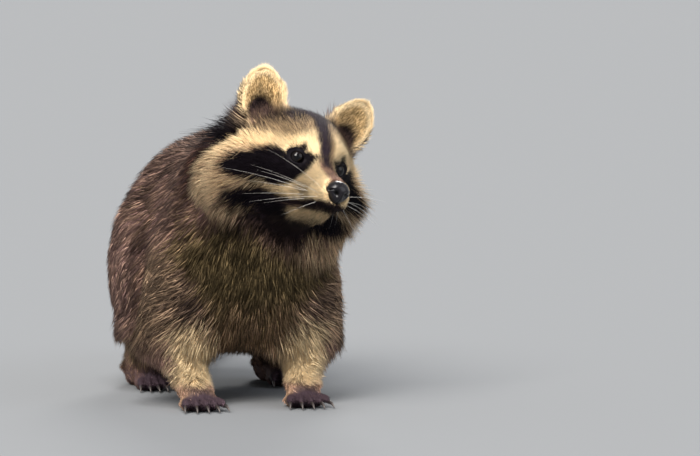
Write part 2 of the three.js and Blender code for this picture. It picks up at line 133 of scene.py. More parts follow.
# The head's own frame, in millimetres: X to the animal's left, Y to the back and Z up, from midway
# between the eyes. The eyes and the nose give its place and its turn.
NOSE_FROM_EYES = (46.1, 19.5)  # ahead and below
EYE = np.array([19.5, 3.6, 0.5])
eyes_at = {side: middle_of("eye_" + side) for side in ("left", "right")}
between_eyes = (eyes_at["left"] + eyes_at["right"]) / 2
nose_slope = math.atan2(NOSE_FROM_EYES[1], NOSE_FROM_EYES[0])
head_x = unit(eyes_at["left"] - eyes_at["right"])
nose_ward = middle_of("nose") - between_eyes
nose_ward = unit(nose_ward - head_x * (nose_ward @ head_x))
downward = np.cross(head_x, nose_ward)
head_y = -math.cos(nose_slope) * nose_ward + math.sin(nose_slope) * downward
head_z = -math.sin(nose_slope) * nose_ward - math.cos(nose_slope) * downward
HEAD = np.array([head_x, head_y, head_z])
HEAD_AT = between_eyes - EYE * [0, 1, 1] * MM @ HEAD


def in_head(p):
    """World points, in metres, as points of the head's frame, in millimetres."""
    return (p - HEAD_AT) @ HEAD.T / MM


def from_head(p):
    return np.asarray(p) * MM @ HEAD + HEAD_AT


def folded_over(h):
    """Head points with the right half laid on the left, and which way each was folded."""
    fold = np.ones_like(h)
    fold[:, 0] = np.where(h[:, 0] < 0, -1, 1)
    return h * fold, fold


def rows_of(items, field, wide=3, kind=np.int32):
    """What a mesh's points, edges or triangles hold, with a row for each."""
    held = np.empty(len(items) * wide, kind)
    items.foreach_get(field, held)
    return held.reshape(-1, wide)


class Surface:
    """The hide's points and triangles, with what is needed to smooth a value over them."""

    def __init__(self, mesh):
        mesh.calc_loop_triangles()
        self.points = rows_of(mesh.vertices, "co", kind=float)
        self.corners = rows_of(mesh.loop_triangles, "vertices")
        self.ends = rows_of(mesh.edges, "vertices", 2).T
        self.valence = np.bincount(self.ends.ravel(), minlength=len(self.points))[:, None]

    def averaged(self, values, rounds=1, share=1.0):
        """Each point's value drawn towards the mean of its neighbours'."""
        shape = values.shape
        values = values.reshape(len(self.points), -1)
        a, b = self.ends
        for _ in range(rounds):
            around = np.zeros_like(values)
            for k, column in enumerate(values.T):
                around[:, k] = np.bincount(a, column[b], len(values)) + np.bincount(b, column[a], len(values))
            values = values + share * (around / self.valence - values)
        return values.reshape(shape)

    def smooth(self, rounds, share=0.5, back=0.52):
        """Evens the surface out with no loss of size."""
        for _ in range(rounds):
            self.points = self.averaged(self.points, 1, share)
            self.points = self.averaged(self.points, 1, -back)

    def normals(self):
        a, b, c = (self.points[self.corners[:, k]] for k in range(3))
        facing = np.cross(b - a, c - a)
        return unit(sum(gathered(facing, self.corners[:, k], len(self.points)) for k in range(3)))


def gathered(values, places, count):
    """The sums of the values that share a place."""
    values = values.reshape(len(places), -1)
    return np.stack([np.bincount(places, column, count) for column in values.T], 1)


def refined(mesh, wanted):
    """The mesh with each face that is wanted, by its middle, cut in four."""
    work = bmesh.new()
    work.from_mesh(mesh)
    chosen = wanted(np.array([f.calc_center_median() for f in work.faces]))
    edges = {e for f, c in zip(work.faces, chosen) if c for e in f.edges}
    bmesh.ops.subdivide_edges(work, edges=list(edges), cuts=1, use_grid_fill=True)
    work.to_mesh(mesh)
    work.free()


# Where the hide is finer, in millimetres: the paws up to a height and round a middle, the face as far
# back, wide and low as this, round the eyes, and the lips as far back as this and round a height.
PAWS_FINE = [(24, -152, 36), (20, 5, 34)]
FACE_FINE = (26, 62, -62)
LIDS_FINE = 15
LIPS_FINE = (8, -35, 7)


def face_and_toes(p):
    wide, back, up = in_head(p).T
    fine = (back < FACE_FINE[0]) & (np.abs(wide) < FACE_FINE[1]) & (up > FACE_FINE[2])
    for high, middle, half in PAWS_FINE:
        fine = fine | (p[:, 2] < high * MM) & (np.abs(p[:, 1] - middle * MM) < half * MM)
    return fine


def lids_and_lips(p):
    f = folded_over(in_head(p))[0]
    furthest, middle, half = LIPS_FINE
    lips = (f[:, 1] < furthest) & (np.abs(f[:, 2] - middle) < half)
    return (how_long(f - EYE * [1, 0, 1]) < LIDS_FINE) | lips


hide_mesh = run_together(FLESH + both("eye"))
refined(hide_mesh, face_and_toes)
refined(hide_mesh, lids_and_lips)
hide = Surface(hide_mesh)
hide.smooth(EVENING_ROUNDS)


def nearest_part(points):
    """For each point, the number of the body part whose solid is nearest."""
    corners, triangles, owners = [], [], []
    for name in FLESH:
        solid = welded(name)
        bmesh.ops.triangulate(solid, faces=solid.faces)
        solid.verts.index_update()
        first = len(corners)
        corners += [v.co.copy() for v in solid.verts]
        triangles += [[first + v.index for v in f.verts] for f in solid.faces]
        owners += [PART_NUMBER[name]] * len(solid.faces)
        solid.free()
    tree = BVHTree.FromPolygons(corners, triangles)
    return np.array([owners[tree.find_nearest(Vector(p))[2]] for p in points])


belongs = nearest_part(hide.points)
# How much each point belongs to each part: 1 inside it, fading over its border.
shares = {name: hide.averaged((belongs == PART_NUMBER[name]).astype(float), BORDER_ROUNDS) for name in FLESH}
on_head = shares["head"] + shares["jaw"]

# On each part, in millimetres: the coat's depth from the hide out to the solids' surface, the hairs'
# length, and the tufts' width. Over the borders they blend.
COAT = {
    "neck": (17, 32, 0.78), "trunk": (18, 36, 0.82), "tail_root": (15, 30, 0.9),
    "tail_middle": (15, 30, 0.9), "tail_tip": (12.5, 26, 0.85), "ear": (1, 5, 0.4),
    "upper_arm": (15, 33, 0.75), "forearm": (8, 11, 0.62), "forepaw": (0.9, 6, 0.55),
    "thigh": (15, 32, 0.85), "shank": (6.5, 15, 0.7), "hindpaw": (0.9, 6, 0.55),
}
coat = np.zeros((len(hide.points), 3))
for name, values in COAT.items():
    for part in both(name) if name + "_left" in shares else [name]:
        coat += shares[part][:, None] * values
part_depth, part_long, part_wide = coat.T

# On the head the coat is shortest on the muzzle and round the eyes, and deep on the cheeks.
MUZZLE_DEPTH = 1.3
MORE_ON_BROWS = 3.2
MORE_ON_CROWN = 2.0
MORE_ON_CHEEKS = 11
folded = folded_over(in_head(hide.points))[0]
wide, back, up = folded.T
from_eye = how_long(folded - EYE)
cheek = steps(wide - 0.3 * up + 0.35 * back, 36, 66) * steps(up, 24, 2)
face_depth = MUZZLE_DEPTH + MORE_ON_BROWS * steps(back, -10, 18) + MORE_ON_CROWN * steps(back, 18, 50)
face_depth += cheek * MORE_ON_CHEEKS
face_depth *= 1 - 0.8 * steps(from_eye, 20, 11)
depth = hide.averaged(part_depth + on_head * face_depth, 6) * MM
outer = hide.points.copy()

# Away from the face the creases between the parts are filled as the hide is drawn in.
INWARD_STEPS = 8
FILLING_ROUNDS = 12
face = steps(back, 46, 26) * on_head
kept = np.clip(sum(shares[n] for n in both("forepaw", "hindpaw", "ear")) + face, 0, 1)[:, None]
for _ in range(FILLING_ROUNDS):
    hide.points = hide.points + (hide.averaged(hide.points, 4) - hide.points) * (1 - kept)
for _ in range(INWARD_STEPS):
    inward = unit(hide.averaged(hide.normals(), 2))
    hide.points = hide.points - inward * depth[:, None] / INWARD_STEPS
    hide.points = hide.points + (hide.averaged(hide.points, 2) - hide.points) * (1 - kept)

# The toes: the hide sinks into a cleft between each claw and the next, back to the knuckles.
CLEFT_LONG = 19 * MM
CLEFT_DEEP = 3.2 * MM
CLEFT_HALF_WIDE = 1.9 * MM
KNUCKLES_SPREAD = 0.68  # as a share of the claws' spread
for limb in both("fore", "hind"):
    paw = limb.replace("_", "paw_")
    middle = middle_of(paw)[0]
    claws = sorted(tuple(middle_of(n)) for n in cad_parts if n.startswith("claw_" + limb))
    for claw, beside in zip(claws, claws[1:]):
        tip = (np.array(claw) + beside)[:2] / 2
        knuckle = [middle + KNUCKLES_SPREAD * (tip[0] - middle), tip[1] + CLEFT_LONG]
        way = knuckle - tip
        t = np.clip((hide.points[:, :2] - tip) @ way / (way @ way), 0, 1)
        far = how_long(hide.points[:, :2] - tip - t[:, None] * way)
        sunk = CLEFT_DEEP * hump(far, 0, CLEFT_HALF_WIDE) * steps(t, 1.0, 0.5) * shares[paw]
        inward = -hide.normals() * sunk[:, None]
        hide.points = hide.points + inward
        outer += inward

# The lids: the hide opens round each eye, with a rounded rim on the ball and a fold outside it.
EYE_RADIUS = 7.2
GAZE = unit(np.array([0.50, -0.86, 0.06]))
EYE_SLANT = math.radians(-14)
OPENING = (0.80, 0.62)  # its half width and half height, as seen from the ball's middle
LID_THICK = 0.9
UPPER_LID_MORE = 0.35
LID_ROLL = 0.5
LID_FOLD = 0.7
eye_across = unit(np.cross(GAZE, [0, 0, 1.0]))
eye_up = np.cross(eye_across, GAZE)
lid_across = math.cos(EYE_SLANT) * eye_across + math.sin(EYE_SLANT) * eye_up
lid_up = np.cross(lid_across, GAZE)


def round_the_eye(f):
    """For folded head points, how far out of the eye's opening they are: 1 at the rim. And how high."""
    out = unit(f - EYE)
    across, high, ahead = out @ lid_across, out @ lid_up, out @ GAZE
    corner = np.where(across > 0, 1.16, 1.0)
    ring = np.sqrt((across / (OPENING[0] * corner)) ** 2 + (high / OPENING[1]) ** 2)
    return np.where(ahead > 0, ring, 2.6 - 0.6 * ring), high


folded, fold = folded_over(in_head(hide.points))
ring, high = round_the_eye(folded)
reach = how_long(folded - EYE)
rim = EYE_RADIUS + LID_THICK + UPPER_LID_MORE * (high > 0)
lid = np.maximum(reach, rim + LID_ROLL * hump(ring, 1.12, 0.12)) - LID_FOLD * hump(ring, 1.5, 0.1)
lid = reach + (lid - reach) * steps(ring, 2.1, 1.45)
lid = np.where(ring < 1, EYE_RADIUS - 1.5, lid)
lid = reach + (lid - reach) * steps(reach, 17, 12)
folded = EYE + unit(folded - EYE) * lid[:, None]

# The mouth line: a narrow groove between the lips, and the split below the nose.
MOUTH_AT = np.array([0, -16, -35])
MOUTH_FACING = unit(np.array([0, -0.12, -1.0]))
LIPS_AT = [0, -14, -35]
GROOVE_DEEP = 1.7
LIP_ROLL = 0.7
SPLIT_DEEP = 0.9
below = (folded - MOUTH_AT) @ MOUTH_FACING
lips = steps(folded[:, 1], 9, 2) * steps(how_long(folded - LIPS_AT), 44, 34) * (on_head > 0.5)
inward = -(hide.normals() @ HEAD.T) * fold
groove = GROOVE_DEEP * hump(below, 0, 1.0) - LIP_ROLL * hump(below, -2.6, 1.6)
folded += inward * (groove * lips)[:, None]
split = hump(folded[:, 0], 0, 0.9) * steps(folded[:, 1], -34, -38) * steps(below, 0.5, -1)
folded += inward * (SPLIT_DEEP * split * (on_head > 0.5))[:, None]

# The ears' cups are hollowed at the front. Each ear has a frame of its own, which leans outwards: the
# right ear is turned out to the side, and the left ear is pricked to the front.
EAR_AT = np.array([44, 41, 41])
EAR_TURNS = [(25, -6), (18, 24)]  # left and right: the tip's lean outwards, and the cup's turn outwards
EAR_HALF = (20, 26)
EAR_HOLLOW = 5.0
on_ears = shares["ear_left"] + shares["ear_right"]
ear_frames = []
for lean, turn in EAR_TURNS:
    turned = Matrix.Rotation(math.radians(turn), 3, "Z") @ Matrix.Rotation(math.radians(lean), 3, "Y")
    ear_frames.append(np.array(turned).T)
EARS = np.array(ear_frames)


def ears_of(fold):
    """For each folded point, the frame of the ear on its side."""
    return EARS[(fold[:, 0] < 0).astype(int)]


def in_ear(f, fold):
    """Folded head points as across, from -1 to 1, behind the rim, in millimetres, and up, from -1 to 1."""
    q = np.einsum("nij,nj->ni", ears_of(fold), f - EAR_AT)
    high = q[:, 2] / EAR_HALF[1]
    return q[:, 0] / (EAR_HALF[0] * (1 - 0.12 * high)), q[:, 1], high


def faces_back(n, fold):
    """How far the ear's surface faces back, at folded head directions."""
    return (n * ears_of(fold)[:, 1]).sum(1)


across, behind, high = in_ear(folded, fold)
ear_front = steps(-faces_back((hide.normals() @ HEAD.T) * fold, fold), 0.1, 0.6) * on_ears
cup = EAR_HOLLOW * hump(across, 0, 0.55) * hump(high, -0.3, 0.55) * ear_front
folded += ears_of(fold)[:, 1] * cup[:, None]
hide.points = from_head(folded * fold)

# The coat's surface stays clear of the hide where the lids and the lips stand up.
LEAST_COAT = 0.9 * MM
proud = hide.normals()
clear = ((outer - hide.points) * proud).sum(1)
outer += proud * np.maximum(0, LEAST_COAT - clear)[:, None]

hide_mesh.vertices.foreach_set("co", hide.points.ravel())
hide_mesh.polygons.foreach_set("use_smooth", np.ones(len(hide_mesh.polygons), bool))
hide_mesh.update()


# ==== The eyes ====
# Each eye is a glass ball in its socket, as a taxidermist sets: its front bulges a little as a cornea
# does, over a very dark brown iris and a round black pupil, with a black ring round the iris.
CORNEA_HALF = 46  # degrees off the line of sight
CORNEA_RISE = 0.55


def linked(tree, source, output, target, socket):
    tree.links.new(source.outputs[output], target.inputs[socket])


def new_finish(name, roughness, gloss=0.5, coat=0.0, coat_roughness=0.03):
    """A new material, with its node tree and its shader."""
    finish = bpy.data.materials.new(name)
    finish.use_nodes = True
    shader = finish.node_tree.nodes["Principled BSDF"]
    shader.inputs["Roughness"].default_value = roughness
    shader.inputs["Specular IOR Level"].default_value = gloss
    shader.inputs["Coat Weight"].default_value = coat
    shader.inputs["Coat Roughness"].default_value = coat_roughness
    return finish, finish.node_tree, shader


def attribute_node(tree, name):
    node = tree.nodes.new("ShaderNodeAttribute")
    node.attribute_name = name
    return node


def coloured_by(tree, source, output, shader, stops):
    """Gives the shader the colour that a ramp of places and colours has at the source's value."""
    ramp = tree.nodes.new("ShaderNodeValToRGB")
    handles = ramp.color_ramp.elements
    for _ in stops[2:]:
        handles.new(0.5)
    for handle, (place, colour) in zip(handles, stops):
        handle.position = place
        handle.color = (*colour, 1)
    linked(tree, source, output, ramp, "Fac")
    linked(tree, ramp, "Color", shader, "Base Color")


def on_the_piece(tree, kind, scale):
    """A pattern that lies on the piece at its true size."""
    place = tree.nodes.new("ShaderNodeTexCoord")
    pattern = tree.nodes.new(kind)
    pattern.inputs["Scale"].default_value = scale
    linked(tree, place, "Object", pattern, "Vector")
    return pattern


def noise_of(tree, scale):
    noise = on_the_piece(tree, "ShaderNodeTexNoise", scale)
    noise.inputs["Detail"].default_value = 3
    return noise


def made_ragged(tree, place, noise, amount):
    """The place's value with that much of the noise on it."""
    ragged = tree.nodes.new("ShaderNodeMath")
    ragged.operation = "MULTIPLY_ADD"
    ragged.inputs[1].default_value = amount
    linked(tree, noise, "Fac", ragged, 0)
    linked(tree, place, "Fac", ragged, 2)
    return ragged


def bumped(tree, height, output, shader, strength, distance):
    """Raises the surface where the height is high."""
    raised = tree.nodes.new("ShaderNodeBump")
    raised.inputs["Strength"].default_value = strength
    raised.inputs["Distance"].default_value = distance
    linked(tree, height, output, raised, "Height")
    linked(tree, raised, "Normal", shader, "Normal")


def set_in_place(mesh, name, finish, slot, *nodes):
    """Makes the mesh a piece of the body, in place of those solids."""
    mesh.name = name
    piece = placed(name, mesh)
    mesh.materials.append(finish)
    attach(piece, "root")
    if nodes:
        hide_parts(*nodes)


def meshed(work):
    """The worked mesh, finished and smooth."""
    mesh = bpy.data.meshes.new("worked")
    for f in work.faces:
        f.smooth = True
    work.to_mesh(mesh)
    work.free()
    return mesh


def attribute_of(work, name, value):
    """Stores a number at each corner of the worked mesh, for its finish to read."""
    layer = work.verts.layers.float.new(name)
    for v in work.verts:
        v[layer] = value(v)


eye_glass, tree, shader = new_finish("eye_glass", 0.12, gloss=0.0, coat=0.55, coat_roughness=0.02)
ragged = made_ragged(tree, attribute_node(tree, "off_axis"), noise_of(tree, 900), 0.06)
pupil, iris, bright = (0.0005, 0.0005, 0.001), (0.002, 0.001, 0.001), (0.005, 0.003, 0.003)
edge, white = (0.001, 0.001, 0.001), (0.004, 0.003, 0.004)
rings = [(0, pupil), (0.21, pupil), (0.24, iris), (0.36, bright), (0.47, edge), (0.62, white)]
coloured_by(tree, ragged, "Value", shader, rings)
for side, sign in (("left", 1), ("right", -1)):
    sight = Vector(GAZE * [sign, 1, 1] @ HEAD)
    ball = bmesh.new()
    bmesh.ops.create_uvsphere(ball, u_segments=56, v_segments=40, radius=EYE_RADIUS * MM)
    attribute_of(ball, "off_axis", lambda v: v.co.angle(Vector((0, 0, 1))) / math.pi * 2)
    for v in ball.verts:
        off_axis = math.degrees(v.co.angle(Vector((0, 0, 1)))) / CORNEA_HALF
        v.co *= 1 + CORNEA_RISE / EYE_RADIUS * max(0, 1 - off_axis**2)
    turned = sight.to_track_quat("Z", "Y").to_matrix().to_4x4()
    bmesh.ops.transform(ball, matrix=Matrix.Translation(eyes_at[side]) @ turned, verts=ball.verts)
    set_in_place(meshed(ball), f"eyeball_{side}", eye_glass, "eye", f"eye_{side}")


# ==== The nose ====
# The nose is a bare pad of wet black leather at the muzzle's end. It narrows to the lip, with a groove
# down its middle and two comma-shaped nostrils that open forwards and run out to the sides.
NOSE_AT = np.array([0, -42.5, -19])
NOSE_RADII = np.array([10.5, 8.5, 9.6])
NOSTRIL = unit(np.array([0.50, -0.84, -0.10]))
NOSTRIL_END = unit(np.array([0.97, -0.30, 0.02]))
NOSTRIL_DEEP = 3.8
SLIT_SHARE = 0.62  # how deep the slit is beside the hole
GROOVE_SUNK = 0.8
WING_PROUD = 0.7
# How wide the hole, the slit, the groove and the wing are, as shares of the pad's radius.
HOLE, SLIT, GROOVE, WING = 0.24, 0.085, 0.055, 0.22


def nose_dents(u):
    """How far the pad is drawn in at a direction from its middle, and its painted shade, most in a nostril.
    """
    f = np.array([abs(u[0]), u[1], u[2]])
    hole = math.exp(-((np.linalg.norm((f - NOSTRIL) / [1, 1, 1.25]) / HOLE) ** 2))
    way = NOSTRIL_END - NOSTRIL
    t = min(1.0, max(0.0, (f - NOSTRIL) @ way / (way @ way)))
    arch = np.array([0, 0, 0.16 * math.sin(math.pi * t)])
    slit = math.exp(-((np.linalg.norm(f - NOSTRIL - t * way - arch) / SLIT) ** 2))
    nostril = max(hole, SLIT_SHARE * slit)
    groove = math.exp(-((f[0] / GROOVE) ** 2)) * float(steps(-f[2], -0.25, 0.15) * steps(-f[1], 0.1, 0.4))
    wing = math.exp(-((np.linalg.norm(f - NOSTRIL - [0.05, 0, 0.34]) / WING) ** 2))
    sunk = NOSTRIL_DEEP * nostril + GROOVE_SUNK * groove - WING_PROUD * wing
    return sunk, nostril + 0.3 * groove


pad = bmesh.new()
bmesh.ops.create_uvsphere(pad, u_segments=112, v_segments=80, radius=1)
attribute_of(pad, "hollow", lambda v: nose_dents(v.co.normalized())[1])
for v in pad.verts:
    u = np.array(v.co.normalized())
    size = NOSE_RADII * [1 - 0.35 * max(0, -u[2]), 1, 1]
    v.co = from_head(NOSE_AT + u * size - unit(u * size) * nose_dents(u)[0])
bmesh.ops.recalc_face_normals(pad, faces=pad.faces)
nose_leather, tree, shader = new_finish("nose_leather", 0.28, gloss=0.2, coat=0.3, coat_roughness=0.15)
# The pad is a near-black plum-grey; painted shade deepens it to black in the nostrils and partly in the
# groove.
plum, grey, dark = (0.003, 0.002, 0.004), (0.005, 0.004, 0.006), (0.0005, 0.0005, 0.0005)
hollow = attribute_node(tree, "hollow")
coloured_by(tree, hollow, "Fac", shader, [(0, grey), (0.25, plum), (0.7, dark)])
pebbles = on_the_piece(tree, "ShaderNodeTexVoronoi", 1300)
bumped(tree, pebbles, "Distance", shader, 0.5, 0.25 * MM)
set_in_place(meshed(pad), "nose_pad", nose_leather, "nose", "nose")


# ==== The claws ====
# Five claws of dark horn to a paw, each a curved taper that is a little deeper than it is wide.
# They are set in the toes' ends and clear the floor by their points.
CLAW_RADII = [1.75, 1.7, 1.55, 1.4, 1.2, 0.95, 0.65, 0.3]
CLAW_SLIM = 0.8  # its width, as a share of its depth
CLAW_ARCH = 0.5 * MM


def drawn_out(work, line, radii, sides, squeeze=1.0):
    """A closed rod along a bent line: a ring for each place on it, and each bridged to the next."""
    rings = []
    last = len(line) - 1
    for k, (place, radius) in enumerate(zip(line, radii)):
        ahead = Vector(line[min(k + 1, last)]) - Vector(line[max(k - 1, 0)])
        turned = ahead.to_track_quat("Z", "Y").to_matrix().to_4x4()
        seat = Matrix.Translation(place) @ turned @ Matrix.Diagonal((squeeze, 1, 1, 1))
        at_end = k in (0, last)
        made = bmesh.ops.create_circle(work, cap_ends=at_end, segments=sides, radius=radius, matrix=seat)
        rings.append(list({e for v in made["verts"] for e in v.link_edges}))
    for ring, following in zip(rings, rings[1:]):
        bmesh.ops.bridge_loops(work, edges=ring + following)
    bmesh.ops.recalc_face_normals(work, faces=work.faces)


claw_horn, tree, shader = new_finish("claw_horn", 0.35)
streaks = noise_of(tree, 1500)
ragged = made_ragged(tree, attribute_node(tree, "along"), streaks, 0.3)
at_root, midway, at_point = (0.012, 0.010, 0.011), (0.03, 0.024, 0.024), (0.09, 0.075, 0.07)
coloured_by(tree, ragged, "Value", shader, [(0.1, at_root), (0.6, midway), (1.0, at_point)])
bumped(tree, streaks, "Fac", shader, 0.3, 0.1 * MM)
for name in sorted(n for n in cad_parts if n.startswith("claw_")):
    tips = np.array([v.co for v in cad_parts[name].data.vertices])
    tips = tips[np.argsort(-tips[:, 1])]
    root, point = Vector(tips[:5].mean(0)), Vector(tips[-1])
    bend = root.lerp(point, 0.6)
    bend.z = root.z + CLAW_ARCH
    stops = np.linspace(0, 1, len(CLAW_RADII))
    line = [root * (1 - t) ** 2 + bend * 2 * t * (1 - t) + point * t * t for t in stops]
    claw = bmesh.new()
    drawn_out(claw, line, [r * MM for r in CLAW_RADII], 12, CLAW_SLIM)
    length = (point - root).length
    attribute_of(claw, "along", lambda v: (v.co - root).length / length)
    set_in_place(meshed(claw), name.replace("claw", "horn"), claw_horn, "claw", name)


# ==== The markings ====
# A raccoon's black mask, cream brows and muzzle, its dark stripe from nose to crown, the grizzled brown
# back, pale forelegs and ringed tail. They are laid on the hide and on each hair alike.
def dye(red, green, blue):
    """A colour as a painter mixes it, 0 to 255, turned to the share of light that it sends back."""
    c = np.array([red, green, blue]) / 255
    return np.where(c <= 0.04045, c / 12.92, ((c + 0.055) / 1.055) ** 2.4)


CREAM = dye(250, 224, 180)
STRAW = dye(218, 188, 144)
TAN = dye(172, 140, 114)
SAND = dye(184, 154, 104)
FAWN = dye(206, 170, 150)
BROWN = dye(110, 85, 84)
DARK_BROWN = dye(54, 41, 41)
SOOT = dye(17, 13, 18)
PLUM = dye(48, 40, 48)
RUSSET = dye(116, 82, 68)
OLIVE = dye(112, 96, 68)
LEATHER = dye(72, 58, 66)

# On the head each marking follows a bent line, in millimetres, on the side that faces left.
MASK = [(9, -10, 5), (14, -8, 2), (21, -4, -4), (28, 1, -10), (36, 7, -12.5), (44, 11, -15),
        (51, 13, -17), (58, 16, -18), (64, 20, -19), (69, 25, -20)]
INNER_CORNER = [(20, -4, 8), (19, -5, 14)]
BROW = [(11, -9, 10), (15, -4, 17), (24, -1, 15), (34, 6, 11), (43, 14, 10),
        (52, 23, 8), (58, 32, 4), (67, 43, -3)]
BROW_DIP = [(35, 6, 9), (31, 2, 4)]
INNER_BROW = [(17, -4, 19), (11, -9, 10)]
MUZZLE_SIDE = [(14, -30, -20), (17, -14, -22), (21, 2, -28), (30, 9, -31), (40, 12, -29), (51, 14, -27)]
CHEEK_PATCH = [(19, 5, -44), (30, 15, -46), (42, 21, -46), (52, 25, -45)]
# Painted shade inside the ruff, behind the cheek patch, with the tufts' pale tips through it.
RUFF_INNER_SHADE = [(63, 22, -26), (58, 25, -38), (48, 33, -54)]
STRIPE = [(-0.5, -17, 0), (-1, -11, 5), (-3, -9, 13), (-4, -5, 20), (-3, 1, 28), (0, 13, 36), (0, 44, 48)]


def along(p, route):
    """The distance from points to a bent line, and how far along it, from 0 to 1, they are."""
    route = np.asarray(route, float)
    lengths = how_long(np.diff(route, axis=0))
    run = np.concatenate([[0], np.cumsum(lengths)])
    best = np.full(len(p), np.inf)
    place = np.zeros(len(p))
    for k, length in enumerate(lengths):
        way = route[k + 1] - route[k]
        t = np.clip((p - route[k]) @ way / length**2, 0, 1)
        far = how_long(p - route[k] - t[:, None] * way)
        place = np.where(far < best, (run[k] + t * length) / run[-1], place)
        best = np.minimum(best, far)
    return best, place


def band(f, line, half_widths, soft, ragged):
    """How strongly a marking shows: 1 in its middle and 0 outside."""
    far, place = along(f, line)
    half = np.interp(place, np.linspace(0, 1, len(half_widths)), half_widths)
    return steps(far + 0.8 * ragged * soft, half + soft, half - soft)


def laid(under, over, amount):
    return under + (over - under) * amount[:, None]


def painted(count, ground, marks):
    """A ground colour with marks laid over it: each an amount, the hair's colour and its tip's."""
    hair, tip = (np.tile(c, (count, 1)) for c in ground)
    for amount, over, over_tip in marks:
        hair, tip = laid(hair, over, amount), laid(tip, over_tip, amount)
    return hair, tip


def head_colours(f, fold, ragged):
    wide, back, up = f.T
    below = (f - MOUTH_AT) @ MOUTH_FACING
    crown = steps(up + 0.4 * wide + 2.5 * ragged, 38, 44) * steps(back, 2, 14)
    sloping = 0.6 * np.maximum(back - 34, 0)
    nape = steps(back + 4 * ragged, 40, 50) * steps(up + sloping, -2, 14)
    lower = steps(back, -10, -30)
    lip = steps(below + ragged, -4.2, -2) * steps(back, 10, 0)
    lip *= steps(below + ragged, 4.4 + 2 * lower, 2 + 2 * lower)
    throat = steps(below + 1.5 * ragged, 10, 14) * steps(wide + 3 * ragged, 42, 30)
    bridge = steps(wide + ragged, 9, 5.5) * steps(up, -24, -16)
    muzzle = steps(back, 6, -8) * steps(below, -1, -3) * (1 - bridge)
    chin = steps(below, 3, 5.5) * steps(back + 0.3 * wide + 2 * ragged, 6, -1)
    ruff = steps(wide + 0.5 * back + 4 * ragged, 44, 60) * steps(up + sloping + 3 * ragged, 16, 2)
    marks = [
        (ruff, TAN, CREAM),
        # painted shade inside the ruff
        (band(f, RUFF_INNER_SHADE, [7, 9, 12], 7, ragged), BROWN * 0.6, STRAW * 0.9),
        (np.maximum(crown, nape), SOOT, PLUM),
        (band(f, BROW, [2, 4.5, 5, 5.5, 6, 8, 10, 14], 2.2, ragged), STRAW * 1.15, CREAM * 1.2),
        (muzzle, CREAM * 0.95, CREAM * 1.25),
        (bridge * steps(up, 6, -2), BROWN, TAN * 0.9),
        (band(f, CHEEK_PATCH, [10, 15, 15, 10], 2.5, ragged), SOOT, SOOT * 2),
        (band(f, MASK, [3, 8.5, 12.5, 15, 17.5, 18.5, 17.5, 15, 11, 5], 1.6, ragged), SOOT, SOOT * 1.2),
        (band(f, INNER_CORNER, [4, 1.5], 1.5, ragged), SOOT, SOOT * 1.2),
        (band(f, MUZZLE_SIDE, [9, 9, 4.5, 2.2, 1.6, 0.8], 1.6, ragged), CREAM * 0.95, CREAM * 1.25),
        (band(f, BROW_DIP, [4.5, 2], 1.5, ragged), CREAM, CREAM * 1.1),
        (band(f * fold, STRIPE, [3.5, 6, 6.6, 6.8, 8, 11, 16], 1.8, ragged), PLUM * 0.55, PLUM * 1.3),
        (band(f, INNER_BROW, [4, 2.5], 1.8, ragged), CREAM, CREAM * 1.1),
        (chin, STRAW * 0.8, CREAM),
        (lip, SOOT * 1.4, DARK_BROWN),
        (throat, SOOT * 1.5, DARK_BROWN),
    ]
    return painted(len(f), (DARK_BROWN * 1.3, STRAW * 0.9), marks)


def body_colours(p, n, s, ragged):
    """The colours away from the head, at world points that face n, with shares s of the parts."""

    def of(*names):
        return np.clip(sum(s[name] for name in names), 0, 1)

    across = np.abs(p[:, 0] - np.where(p[:, 0] > 0, *WRISTS)) / MM
    high = p[:, 2] / MM
    front = steps(-n[:, 1] + 0.1 * ragged, 0.2, 0.6)
    cuff = steps(across + 5 * ragged, 36 - 0.2 * high, 24 - 0.2 * high) * steps(high + 6 * ragged, 76, 56)
    elbow = hump(across, 0, 24) * hump(high + 4 * ragged, 88, 20) * front
    from_throat = np.abs(p[:, 0] - THROAT[0]) / MM
    # Painted shade: the chest under the head and its ruffs is sooty, with olive tips.
    shade_under_ruff = front * steps(from_throat + 6 * ragged, 66, 40) * steps(high + 8 * ragged, 140, 170)
    toe_ward = (-p[:, 1] - np.where(p[:, 1] < -100 * MM, *TOES_FROM)) / MM + 4 * ragged
    toes = steps(toe_ward, -6, 5) * of(*both("forepaw", "hindpaw"))
    marks = [
        (steps(n[:, 2] + 0.15 * ragged, 0.1, 0.75) * s["trunk"], DARK_BROWN, FAWN * 0.6),
        (s["neck"] * steps(n[:, 2] + 0.3 * n[:, 1], -0.1, 0.4), SOOT * 1.5, RUSSET * 0.9),
        (front * of("trunk", "neck"), OLIVE * 0.32, OLIVE * 1.5),
        (shade_under_ruff * of("trunk", "neck"), SOOT, OLIVE * 0.5),
        (steps(-n[:, 2], 0.2, 0.7) * s["trunk"], OLIVE * 0.6, TAN),
        (of(*both("upper_arm")), DARK_BROWN * 0.6, (STRAW + FAWN) * 0.6),
        (of(*both("forearm")), BROWN, FAWN * 1.1),
        (elbow * of(*both("upper_arm", "forearm")), SOOT * 1.5, BROWN * 0.6),
        (cuff * of(*both("upper_arm", "forearm")), CREAM, CREAM * 1.4),
        (of(*both("thigh")), BROWN * 0.7, FAWN),
        (of(*both("shank")), BROWN, STRAW),
        (of(*both("forepaw")), TAN * 0.6, FAWN * 1.1),
        (of(*both("hindpaw")), BROWN * 0.7, TAN * 0.8),
        (toes, LEATHER * 0.6, LEATHER * 1.5),
    ]
    return painted(len(p), (BROWN, TAN), marks)


